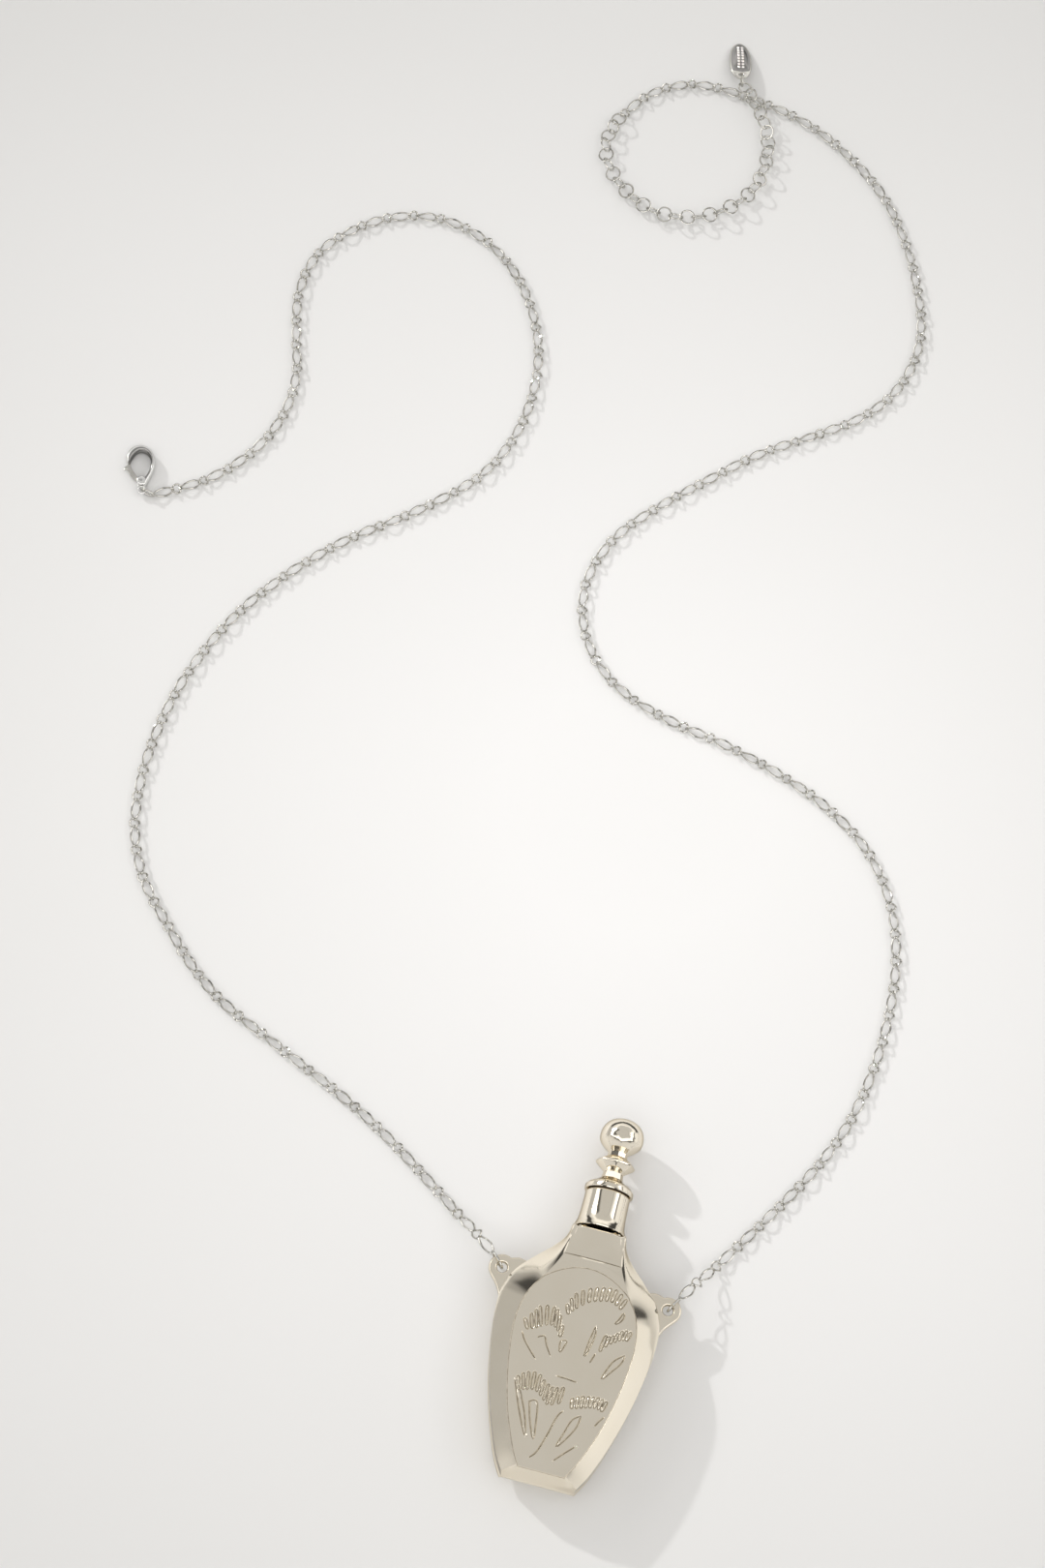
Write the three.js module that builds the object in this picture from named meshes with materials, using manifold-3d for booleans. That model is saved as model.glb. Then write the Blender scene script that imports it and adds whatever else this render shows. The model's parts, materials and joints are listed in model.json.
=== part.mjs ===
// A perfume-bottle pendant on a long chain, with a lobster clasp at one end of the chain and an
// extender with a small charm at the other. Millimetres, +Z up. The bottle lies on its back, its
// axis along +Y, and the origin is the middle of the pendant's footprint on the table.
import * as THREE from 'three';
import { mergeVertices } from 'three/addons/utils/BufferGeometryUtils.js';
import Module from 'manifold-3d';

const wasm = await Module();
wasm.setup();

// ---- driving dimensions -------------------------------------------------------------------
const PENDANT_LENGTH = 82;
const FOOT = -PENDANT_LENGTH / 2; // y of the bottle's foot
const THICKNESS = 12;
const MID = THICKNESS / 2; // height of the bottle's axis and of the shells' seam
const SEAM_GAP = 0.3;
const GAP = 0.3; // between pieces of the stopper and the neck
const FINE_GAP = 0.12; // inside the clasp

// Half of the bottle's outline at the seam and of its flat face: half-width and height above
// the foot, from the foot upwards.
const OUTLINE = [
  [7.7, 0], [10.1, 4.3], [12.8, 11.5], [15.2, 20], [16.8, 28.5], [17.4, 35],
  [17.1, 39], [15.6, 43], [12.4, 46.8], [8.6, 50.3], [6.5, 53], [5.9, 55.6],
];
const FACE = [
  [5, 1.5], [7.2, 5.6], [10, 13], [11.9, 21], [12.9, 28.5], [12.9, 33],
  [12.3, 36.5], [11.2, 39.4], [9.3, 42.2], [6.6, 44.4], [3.4, 45.8], [0.8, 46.2],
];
const CAVITY_SCALE = 0.86; // the inside of the bottle is its outside, shrunk about its belly
const CAVITY_HALF_DEPTH = 4.6;
const BELLY = 24;

const NECK_RADIUS = 5.85;
const NECK_FROM = 44;
const NECK_TOP = 55.6;
const TUBE = { inner: 2.7, outer: 3.4, from: 47.5, to: 61.5 };
const NECK_BORE = TUBE.outer + GAP;

const LUG = { x: 18.1, y: 43.3, radius: 2.9, hole: 1.1, thickness: 1.4, root: 13.6 };

const CHAIN = { pitch: 6.5, tube: 0.7, gap: 0.8, endGap: 1.1, drop: 20 };
const EXTENDER = { tube: 1.1, gap: 1.2, endGap: 1.1, lift: 3.2 };
const RING = { length: 4.6, height: 3, wire: 0.27 };
const CLASP_RING = { length: 3.6, height: 2.4, wire: 0.24 };
const CHARM_RING = { length: 3.6, height: 3, wire: 0.24 };
const CLASP = { thickness: 2.4, eye: 1.15, eyeHole: 0.6, eyeThickness: 1, slot: 1.1, pin: 0.28 };
const CHARM = { length: 11.4, width: 5, thickness: 0.9, hole: 0.6, height: 2.9 };

// Where the chain lies, seen from above: from each lug's ring to the clasp's ring, to the
// first ring of the extender, and from there to the charm's ring.
const LEFT_ROUTE = [
  [-20.6, 4.9], [-29, 12], [-39, 19], [-49, 25.5], [-59, 31], [-70, 36], [-80, 40.5], [-91, 45.5],
  [-100, 52], [-108, 60], [-116, 69], [-121, 79.5], [-123, 91], [-123, 102.5], [-121.5, 114],
  [-118.5, 125], [-114, 136], [-108, 146], [-101, 155], [-93, 163.5], [-84, 171], [-75.5, 179],
  [-68, 188], [-63.5, 199], [-62, 210], [-63, 221.5], [-67, 232.5], [-73.5, 242], [-82.5, 249],
  [-94, 252], [-105, 249.5], [-114, 243], [-120.5, 234], [-122, 222.5], [-119.5, 211],
  [-116.5, 200], [-117, 189], [-121, 178.5], [-129, 168.6], [-140.4, 160.9],
];
const RIGHT_ROUTE = [
  [19.9, 5.4], [27, 17], [34.5, 29], [41.5, 41], [47, 53.5], [50, 67], [51, 81], [50, 95],
  [46, 108], [38, 119.5], [26.5, 127.5], [14, 132.5], [1, 136], [-13, 138.5], [-26, 143.5],
  [-35, 153], [-38.5, 166], [-35, 179.5], [-26.5, 191], [-17, 201], [-7, 211], [4.5, 219.5],
  [15, 228], [22, 239], [24, 252.5], [20.5, 266], [15, 278], [7, 289.5], [-4, 298.5],
  [-16, 304.5], [-30, 307.3], [-43.5, 307.5], [-53.5, 302], [-59.5, 293],
];
const EXTENDER_ROUTE = [
  [-59.5, 293], [-61.5, 284], [-57, 275], [-46, 268.5], [-34, 270.5], [-25, 279],
  [-22.5, 289], [-24, 298], [-28.5, 304.5], [-33, 309.5],
];
const RUNS = 8; // each side of the chain is this many runs of links, hinged to each other
const EXTENDER_SPLIT = 0.74; // where the extender's loose end begins, as a share of its length
const CLASP_EYE = [-143, 161.4];
const CLASP_TURN = THREE.MathUtils.degToRad(17);
const CHARM_EYE = [-33.8, 312];
const CHARM_TURN = THREE.MathUtils.degToRad(13);
const CHARM_TILT = THREE.MathUtils.degToRad(-12.5);

// ---- materials ----------------------------------------------------------------------------
const metal = (color, roughness) => new THREE.MeshStandardMaterial({ color, roughness, metalness: 1 });
const GOLD = metal(0xe6d6b4, 0.12);
const SILVER = metal(0xdcdcd8, 0.15);
const STEEL = metal(0xb9b9b6, 0.3);
const SEAL = new THREE.MeshStandardMaterial({ color: 0xe9e7e0, roughness: 0.6, metalness: 0 });

// ---- solids -------------------------------------------------------------------------------
function toSolid(geometry) {
  const bare = geometry.clone();
  bare.deleteAttribute('normal');
  bare.deleteAttribute('uv');
  const merged = mergeVertices(bare.index ? bare.toNonIndexed() : bare, 1e-4);
  const mesh = new wasm.Mesh({
    numProp: 3,
    vertProperties: new Float32Array(merged.attributes.position.array),
    triVerts: new Uint32Array(merged.index.array),
  });
  return new wasm.Manifold(mesh);
}

function toGeometry(solid) {
  const mesh = solid.getMesh();
  const geometry = new THREE.BufferGeometry();
  geometry.setAttribute('position', new THREE.BufferAttribute(mesh.vertProperties, 3));
  geometry.setIndex(new THREE.BufferAttribute(mesh.triVerts, 1));
  geometry.computeVertexNormals();
  return geometry;
}

// A slab between two heights, wide enough to cut anything here with.
function slab(low, high) {
  const wide = 400;
  const box = new THREE.BoxGeometry(wide, wide, high - low);
  box.translate(0, 0, (low + high) / 2);
  return toSolid(box);
}

// A solid of revolution about the bottle's axis, from [radius, height above the foot] points.
function turned(profile, segments = 24) {
  const geometry = new THREE.LatheGeometry(profile.map(([r, y]) => new THREE.Vector2(r, y)), segments);
  geometry.translate(0, FOOT, MID);
  return geometry;
}

// A plain rod or tube wall about the bottle's axis.
const rod = (radius, from, to) => turned([[0, from], [radius, from], [radius, to], [0, to]]);
const sleeve = (inner, outer, from, to) =>
  turned([[inner, from], [outer, from], [outer, to], [inner, to], [inner, from]]);

// A flat plate with its underside at z = low.
function plate(shape, low, thickness) {
  const options = { depth: thickness, bevelEnabled: false, curveSegments: 10 };
  const geometry = new THREE.ExtrudeGeometry(shape, options);
  geometry.translate(0, 0, low);
  return geometry;
}

function discShape(x, y, radius) {
  const shape = new THREE.Shape();
  shape.absarc(x, y, radius, 0, Math.PI * 2);
  return shape;
}

const shapeOf = (points) => new THREE.Shape(points.map(([x, y]) => new THREE.Vector2(x, y)));

// ---- the bottle ---------------------------------------------------------------------------
// The closed outline from its half, anticlockwise seen from above, in the object's frame.
function closedOutline(half, scale = 1) {
  const right = half.map(([x, y]) => [x * scale, FOOT + BELLY + (y - BELLY) * scale]);
  const left = right.map(([x, y]) => [-x, y]).reverse();
  return [...right, ...left];
}

// Half of the bottle: the seam outline at the axis height joined to the face outline at zFace.
function bottleHalf(zFace, scale = 1) {
  const seam = closedOutline(OUTLINE, scale);
  const face = closedOutline(FACE, scale);
  const count = seam.length;
  const points = [...seam.map(([x, y]) => [x, y, MID]), ...face.map(([x, y]) => [x, y, zFace])];
  const cap = (ring) => THREE.ShapeUtils.triangulateShape(shapeOf(ring).getPoints(), []);
  const triangles = cap(face).map((t) => t.map((i) => i + count));
  for (const [a, b, c] of cap(seam)) triangles.push([c, b, a]);
  for (let i = 0; i < count; i += 1) {
    const next = (i + 1) % count;
    triangles.push([i, next, count + i], [next, count + next, count + i]);
  }
  const isFront = zFace > MID;
  const index = triangles.flatMap(([a, b, c]) => (isFront ? [a, b, c] : [c, b, a]));
  const geometry = new THREE.BufferGeometry();
  geometry.setAttribute('position', new THREE.Float32BufferAttribute(points.flat(), 3));
  geometry.setIndex(index);
  return geometry;
}

function bottleOutside(scale = 1) {
  const front = toSolid(bottleHalf(THICKNESS, scale));
  const back = toSolid(bottleHalf(0, scale));
  return front.add(back).add(toSolid(rod(NECK_RADIUS, NECK_FROM, NECK_TOP)));
}

function bottleShell(low, high) {
  const depth = CAVITY_HALF_DEPTH;
  const frontCavity = toSolid(bottleHalf(MID + depth, CAVITY_SCALE));
  const cavity = frontCavity.add(toSolid(bottleHalf(MID - depth, CAVITY_SCALE)));
  const bore = toSolid(rod(NECK_BORE, BELLY, NECK_TOP + 1));
  const hollow = bottleOutside().subtract(cavity).subtract(bore);
  return toGeometry(hollow.intersect(slab(low, high)));
}

const frontShell = () => bottleShell(MID + SEAM_GAP / 2, THICKNESS + 1);
const backShell = () => bottleShell(-1, MID - SEAM_GAP / 2);

// A D-shaped eyelet plate, its straight root against the shoulder of the bottle.
function lug(side) {
  const centre = [side * LUG.x, FOOT + LUG.y];
  const root = side * LUG.root;
  const arm = shapeOf([
    [root, centre[1] + LUG.radius * 0.8], [centre[0], centre[1] + LUG.radius],
    [centre[0] + side * LUG.radius * 0.5, centre[1] - LUG.radius * 0.85], [side * 16.6, centre[1] - 7],
    [root, centre[1] - 3],
  ]);
  const low = MID - LUG.thickness / 2;
  const disc = toSolid(plate(discShape(...centre, LUG.radius), low, LUG.thickness));
  const hole = toSolid(plate(discShape(...centre, LUG.hole), low - 1, LUG.thickness + 2));
  const solid = disc.add(toSolid(plate(arm, low, LUG.thickness))).subtract(hole);
  return toGeometry(solid.subtract(bottleOutside(1.012)));
}

// ---- the stopper --------------------------------------------------------------------------
const COLLAR = { inner: 3.8, from: NECK_TOP + 0.5, roof: 63.6, top: 64.6 };

const stopperCollar = () => turned([
  [0, COLLAR.roof], [COLLAR.inner, COLLAR.roof], [COLLAR.inner, COLLAR.from], [5.75, COLLAR.from],
  [5.3, 58], [4.95, 60.5], [4.7, 62.5], [4.6, COLLAR.top], [0, COLLAR.top],
]);

// Flange, waist, two-cone ring, waist and knob, turned in one piece.
const stopperFinial = () => turned([
  [0, 64.9], [4.8, 64.9], [4.95, 65.5], [4.4, 66.6], [2.6, 68.1], [2.1, 69.1], [2.4, 69.8],
  [3.8, 71.3], [3.8, 71.8], [2.3, 73.2], [2.2, 73.9], [3.2, 75.1], [4.3, 76.6], [4.5, 78],
  [4.2, 79.7], [3.2, 81.1], [1.7, 81.8], [0, PENDANT_LENGTH],
]);

const stopperPlug = () => rod(1.7, 57.2, COLLAR.roof - GAP);
const stopperSeal = () => sleeve(1.95, 2.5, 58, 60.5);
const neckTube = () => sleeve(TUBE.inner, TUBE.outer, TUBE.from, TUBE.to);

// ---- rings --------------------------------------------------------------------------------
// An oval ring standing on edge, its long way from one point towards another.
function standingRing(from, towards, height, { length, height: tall, wire }) {
  const start = new THREE.Vector3(...from, height);
  const along = new THREE.Vector3(...towards, height).sub(start).normalize();
  const half = length / 2 - wire;
  const curve = new THREE.Curve();
  curve.getPoint = (t) => {
    const angle = t * Math.PI * 2;
    const point = start.clone().addScaledVector(along, half - half * Math.cos(angle));
    point.z += (tall / 2 - wire) * Math.sin(angle);
    return point;
  };
  return new THREE.TubeGeometry(curve, 24, wire, 8, true);
}

// ---- the chain ----------------------------------------------------------------------------
const routeCurve = (points) =>
  new THREE.CatmullRomCurve3(points.map(([x, y]) => new THREE.Vector3(x, y, 0)), false, 'catmullrom', 0.5);

// How high the middle of the chain lies, at a distance along it from the lug.
function chainHeight(distance) {
  const low = CHAIN.tube;
  const share = Math.min(1, distance / CHAIN.drop);
  return low + (MID - low) * 0.5 * (1 + Math.cos(Math.PI * share));
}

// The extender lies on the table, then its loose end climbs over the chain.
function extenderHeight(distance, length) {
  const climbFrom = length * 0.8;
  const climbTo = length * 0.9;
  const share = THREE.MathUtils.smoothstep(distance, climbFrom, climbTo);
  return EXTENDER.tube + (EXTENDER.lift - EXTENDER.tube) * share;
}

// A plain tube over the links between two distances along a route.
function run(curve, from, to, radius, heightAt) {
  const length = curve.getLength();
  const steps = Math.max(3, Math.ceil((to - from) / (radius * 6)));
  const points = [];
  for (let i = 0; i <= steps; i += 1) {
    const distance = from + ((to - from) * i) / steps;
    const point = curve.getPointAt(distance / length);
    point.z = heightAt(distance, length);
    points.push(point);
  }
  const path = new THREE.CatmullRomCurve3(points, false, 'catmullrom', 0.5);
  const section = new THREE.Shape();
  for (let i = 0; i < 8; i += 1) {
    const angle = (i + 0.5) * (Math.PI / 4);
    const corner = [radius * Math.cos(angle), radius * Math.sin(angle)];
    if (i) section.lineTo(...corner);
    else section.moveTo(...corner);
  }
  return new THREE.ExtrudeGeometry(section, { steps, extrudePath: path, bevelEnabled: false });
}

// The runs of one side of the chain: whole repeats of its pattern, shared out evenly.
function chainRuns(side, route) {
  const curve = routeCurve(route);
  const length = curve.getLength();
  const repeats = Math.round(length / CHAIN.pitch);
  const pitch = length / repeats;
  const edges = Array.from({ length: RUNS + 1 }, (_, i) => Math.round((repeats * i) / RUNS) * pitch);
  return edges.slice(0, -1).map((edge, i) => {
    const from = edge + (i === 0 ? CHAIN.endGap : CHAIN.gap / 2);
    const to = edges[i + 1] - (i === RUNS - 1 ? CHAIN.endGap : CHAIN.gap / 2);
    return piece(`chain_${side}_${i + 1}`, run(curve, from, to, CHAIN.tube, chainHeight), SILVER);
  });
}

function extenderRuns() {
  const curve = routeCurve(EXTENDER_ROUTE);
  const length = curve.getLength();
  const split = length * EXTENDER_SPLIT;
  const half = EXTENDER.gap / 2;
  const height = extenderHeight;
  return [
    piece('extender_run', run(curve, half, split - half, EXTENDER.tube, height), SILVER),
    piece('extender_end', run(curve, split + half, length - EXTENDER.endGap, EXTENDER.tube, height), SILVER),
  ];
}

// ---- the clasp, in its own frame: eye at the origin, tip along +Y ---------------------------
const CLASP_BODY = [
  [-0.55, 0.9], [-0.9, 1.9], [-0.75, 3], [0.35, 2.6], [1.5, 4], [2.2, 5.7], [2.25, 7.6],
  [1.5, 9.2], [0.1, 10], [-1.2, 9.7], [-2, 8.7], [-2.2, 7.5], [-2.4, 6.95], [-3.45, 7.05],
  [-3.6, 8.3], [-3, 9.6], [-1.7, 10.9], [0, 11.4], [1.6, 10.8], [2.8, 9.4], [3.2, 7.6],
  [2.95, 5.6], [2.3, 3.6], [1.35, 2], [0.6, 0.9],
];
const LEVER_PIVOT = [-0.1, 2];
const LEVER_HEEL = 0.72;
const LEVER = [
  [-0.15, 1.5], [0.2, 1.75], [0.2, 2.15], [-0.6, 2.75], [-1.3, 3.6], [-2.2, 5.5], [-2.55, 6.6],
  [-3.05, 6.4], [-3.85, 5.75], [-3.95, 5.2], [-3.2, 5.2], [-2.5, 3.9], [-1.5, 2.5], [-0.6, 1.7],
];

function claspBody() {
  const { thickness, eye, eyeHole, eyeThickness, slot } = CLASP;
  const frame = toSolid(plate(shapeOf(CLASP_BODY), 0, thickness));
  const eyeLow = (thickness - eyeThickness) / 2;
  const eyelet = toSolid(plate(discShape(0, 0, eye), eyeLow, eyeThickness));
  const eyeBore = toSolid(plate(discShape(0, 0, eyeHole), -1, thickness + 2));
  const slotLow = (thickness - slot) / 2;
  const slotShape = shapeOf([[-3, 1.15], [0.95, 1.15], [0.95, 3.2], [0.3, 3.9], [-3, 3.9]]);
  const slotCut = toSolid(plate(slotShape, slotLow, slot));
  const pinBore = toSolid(plate(discShape(...LEVER_PIVOT, CLASP.pin + FINE_GAP), -1, thickness + 2));
  return toGeometry(frame.add(eyelet).subtract(eyeBore).subtract(slotCut).subtract(pinBore));
}

function claspLever() {
  const thin = CLASP.slot - 2 * FINE_GAP;
  const low = (CLASP.thickness - thin) / 2;
  const heel = toSolid(plate(discShape(...LEVER_PIVOT, LEVER_HEEL), low, thin));
  const blade = toSolid(plate(shapeOf(LEVER), low, thin)).add(heel);
  const bore = toSolid(plate(discShape(...LEVER_PIVOT, CLASP.pin + FINE_GAP), -1, CLASP.thickness + 2));
  return toGeometry(blade.subtract(bore));
}

const claspPin = () => plate(discShape(...LEVER_PIVOT, CLASP.pin), 0.1, CLASP.thickness - 0.2);

// A leaf spring behind the lever's heel.
function claspSpring() {
  const leaf = shapeOf([[0.72, 1.3], [0.84, 1.3], [0.84, 2.6], [0.72, 2.6]]);
  return plate(leaf, CLASP.thickness / 2 - 0.3, 0.6);
}

// ---- the charm, in its own frame: hole at the origin, the rest along +Y ---------------------
function charmPlate() {
  const { length, width, thickness, hole } = CHARM;
  const shape = new THREE.Shape();
  const root = -1.2;
  const top = root + length;
  shape.moveTo(-0.7, root);
  shape.lineTo(0.7, root);
  shape.bezierCurveTo(width * 0.42, root + 1.5, width * 0.56, top - 4.6, width * 0.4, top - 2.4);
  shape.bezierCurveTo(width * 0.3, top, -width * 0.3, top, -width * 0.4, top - 2.4);
  shape.bezierCurveTo(-width * 0.56, top - 4.6, -width * 0.42, root + 1.5, -0.7, root);
  const bore = toSolid(plate(discShape(0, 0, hole), -thickness, 2 * thickness));
  return toGeometry(toSolid(plate(shape, -thickness / 2, thickness)).subtract(bore));
}

// ---- assembly -----------------------------------------------------------------------------
function piece(name, geometry, material) {
  const mesh = new THREE.Mesh(geometry, material);
  mesh.name = name;
  return mesh;
}

const necklace = new THREE.Group();

necklace.add(
  piece('bottle_front_shell', frontShell(), GOLD),
  piece('bottle_back_shell', backShell(), GOLD),
  piece('bottle_neck_tube', neckTube(), GOLD),
  piece('left_lug', lug(-1), GOLD),
  piece('right_lug', lug(1), GOLD),
);

const stopper = new THREE.Group();
stopper.add(
  piece('stopper_collar', stopperCollar(), GOLD),
  piece('stopper_finial', stopperFinial(), GOLD),
  piece('stopper_plug', stopperPlug(), GOLD),
  piece('stopper_seal', stopperSeal(), SEAL),
);
necklace.add(stopper);

const lugRing = (name, side, route) => {
  const hole = [side * LUG.x, FOOT + LUG.y];
  return piece(name, standingRing(hole, route[0], MID, RING), SILVER);
};
necklace.add(lugRing('left_lug_ring', -1, LEFT_ROUTE), lugRing('right_lug_ring', 1, RIGHT_ROUTE));
necklace.add(...chainRuns('left', LEFT_ROUTE), ...chainRuns('right', RIGHT_ROUTE), ...extenderRuns());

const clasp = new THREE.Group();
clasp.position.set(...CLASP_EYE, 0);
clasp.rotation.z = CLASP_TURN;
clasp.add(
  piece('clasp_body', claspBody(), SILVER),
  piece('clasp_lever', claspLever(), SILVER),
  piece('clasp_pin', claspPin(), STEEL),
  piece('clasp_spring', claspSpring(), STEEL),
);
necklace.add(clasp);
const chainEnd = LEFT_ROUTE[LEFT_ROUTE.length - 1];
const claspRing = standingRing(CLASP_EYE, chainEnd, CLASP.thickness / 2, CLASP_RING);
necklace.add(piece('clasp_ring', claspRing, SILVER));

const charm = new THREE.Group();
charm.position.set(...CHARM_EYE, CHARM.height);
charm.rotation.set(CHARM_TILT, 0, CHARM_TURN, 'ZXY');
charm.add(piece('charm_tag', charmPlate(), SILVER));
necklace.add(charm);
const extenderTail = EXTENDER_ROUTE[EXTENDER_ROUTE.length - 1];
const charmRing = standingRing(CHARM_EYE, extenderTail, CHARM.height, CHARM_RING);
necklace.add(piece('charm_ring', charmRing, SILVER));

export default necklace;
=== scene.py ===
"""A perfume-bottle pendant on a long chain with a lobster clasp, an extender and a small charm.

Lengths are in millimetres until a mesh or a lamp is made. The bottle lies on its back with its
axis along +Y, and the origin is the middle of the pendant's footprint on the table.
"""

import json
import math
import random
from contextlib import contextmanager

import bmesh
import bpy
import numpy as np
from mathutils import Matrix, Vector
from mathutils.geometry import delaunay_2d_cdt


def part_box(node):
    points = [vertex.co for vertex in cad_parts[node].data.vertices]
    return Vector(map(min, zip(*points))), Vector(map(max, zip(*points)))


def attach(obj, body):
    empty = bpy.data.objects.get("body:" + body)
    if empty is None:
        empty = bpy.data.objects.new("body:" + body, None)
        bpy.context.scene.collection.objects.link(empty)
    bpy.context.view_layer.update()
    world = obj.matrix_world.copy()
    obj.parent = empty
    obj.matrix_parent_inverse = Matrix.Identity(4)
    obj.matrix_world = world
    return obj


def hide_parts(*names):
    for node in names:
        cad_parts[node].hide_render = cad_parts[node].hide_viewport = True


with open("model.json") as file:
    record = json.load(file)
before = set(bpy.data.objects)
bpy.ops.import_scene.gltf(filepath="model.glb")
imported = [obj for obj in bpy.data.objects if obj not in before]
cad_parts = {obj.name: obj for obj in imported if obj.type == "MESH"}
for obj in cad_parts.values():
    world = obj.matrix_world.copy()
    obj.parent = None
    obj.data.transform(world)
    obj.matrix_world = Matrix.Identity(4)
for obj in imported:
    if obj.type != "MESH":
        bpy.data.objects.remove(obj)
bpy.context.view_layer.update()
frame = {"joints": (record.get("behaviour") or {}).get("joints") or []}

MM = 0.001
UP = np.array([0.0, 0.0, 1.0])

# ---- sizes taken from the frame ----


def node_box(node):
    """Lowest and highest corner of a CAD node in millimetres."""
    low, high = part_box(node)
    return np.array(low) / MM, np.array(high) / MM


def joint_place(name):
    """Where a joint's axis passes, in millimetres."""
    joint = next(j for j in frame["joints"] if j["name"] == name)
    return np.array(joint["pos_m"]) / MM


BOTTLE_LOW = node_box("bottle_back_shell")[0]
BOTTLE_HIGH = node_box("bottle_front_shell")[1]
FOOT = BOTTLE_LOW[1]
THICKNESS = BOTTLE_HIGH[2] - BOTTLE_LOW[2]
MID = BOTTLE_LOW[2] + THICKNESS / 2

# ---- where the chain lies: the same routes as the CAD's ----

LEFT_ROUTE = [
    (-20.6, 4.9), (-29, 12), (-39, 19), (-49, 25.5), (-59, 31), (-70, 36), (-80, 40.5), (-91, 45.5),
    (-100, 52), (-108, 60), (-116, 69), (-121, 79.5), (-123, 91), (-123, 102.5), (-121.5, 114),
    (-118.5, 125), (-114, 136), (-108, 146), (-101, 155), (-93, 163.5), (-84, 171), (-75.5, 179),
    (-68, 188), (-63.5, 199), (-62, 210), (-63, 221.5), (-67, 232.5), (-73.5, 242), (-82.5, 249),
    (-94, 252), (-105, 249.5), (-114, 243), (-120.5, 234), (-122, 222.5), (-119.5, 211),
    (-116.5, 200), (-117, 189), (-121, 178.5), (-129, 168.6), (-140.4, 160.9),
]
RIGHT_ROUTE = [
    (19.9, 5.4), (27, 17), (34.5, 29), (41.5, 41), (47, 53.5), (50, 67), (51, 81), (50, 95),
    (46, 108), (38, 119.5), (26.5, 127.5), (14, 132.5), (1, 136), (-13, 138.5), (-26, 143.5),
    (-35, 153), (-38.5, 166), (-35, 179.5), (-26.5, 191), (-17, 201), (-7, 211), (4.5, 219.5),
    (15, 228), (22, 239), (24, 252.5), (20.5, 266), (15, 278), (7, 289.5), (-4, 298.5),
    (-16, 304.5), (-30, 307.3), (-43.5, 307.5), (-53.5, 302), (-59.5, 293),
]
EXTENDER_ROUTE = [
    (-59.5, 293), (-61.5, 284), (-57, 275), (-46, 268.5), (-34, 270.5), (-25, 279),
    (-22.5, 289), (-24, 298), (-28.5, 304.5), (-33, 309.5),
]
RUNS = 8
PITCH = 6.5  # about the length of one long link and one small ring
CHAIN_LOW = 0.9  # height of the chain's middle on the table
CHAIN_DROP = 15  # the chain comes down from the lug to the table over this length
LONG_LINK = {"length": 5.18, "width": 1.9, "wire": 0.22}
SMALL_RING = {"length": 2.18, "width": 2.18, "wire": 0.22}
EXTENDER_RING = {"length": 3.4, "width": 3.4, "wire": 0.22}
EXTENDER_PITCH = 2.78
EXTENDER_LOW = 1.6  # height of its middle on the table
EXTENDER_HIGH = 2.95  # and where its end lies on the chain
EXTENDER_SPLIT = 0.74  # share of its length where the end that lifts begins
EXTENDER_LEANS = (15, -45)  # degrees that its rings lean in turn


# ---- camera ----


def add_camera():
    """A camera above the foot of the pendant, a little rolled, with a long lens."""
    place = Vector((-23.7, -222.8, 768.8)) * MM
    target = Vector((-40.6, 114.3, 0)) * MM
    roll = math.radians(11.9)
    forward = (target - place).normalized()
    level_right = forward.cross(Vector((0, 0, 1))).normalized()
    level_up = level_right.cross(forward)
    right = level_right * math.cos(roll) + level_up * math.sin(roll)
    up = level_up * math.cos(roll) - level_right * math.sin(roll)
    data = bpy.data.cameras.new("camera")
    data.sensor_width = 36
    data.lens = 85.6
    data.clip_start = 0.01
    data.clip_end = 20
    camera = bpy.data.objects.new("camera", data)
    rotation = Matrix((right, up, -forward)).transposed()
    camera.matrix_world = Matrix.Translation(place) @ rotation.to_4x4()
    bpy.context.scene.collection.objects.link(camera)
    bpy.context.scene.camera = camera


# ---- materials ----


class Nodes:
    """The nodes of a material or a world."""

    def __init__(self, owner):
        owner.use_nodes = True
        self.tree = owner.node_tree

    def add(self, kind, values, links, **settings):
        """A new node, with its settings, its inputs' values and what is linked into them."""
        node = self.tree.nodes.new(f"ShaderNode{kind}")
        for name, value in settings.items():
            setattr(node, name, value)
        for socket, value in values.items():
            node.inputs[socket].default_value = value
        for socket, source in links.items():
            self.link(source, node.inputs[socket])
        return node

    def link(self, source, target):
        self.tree.links.new(source, target)


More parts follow.
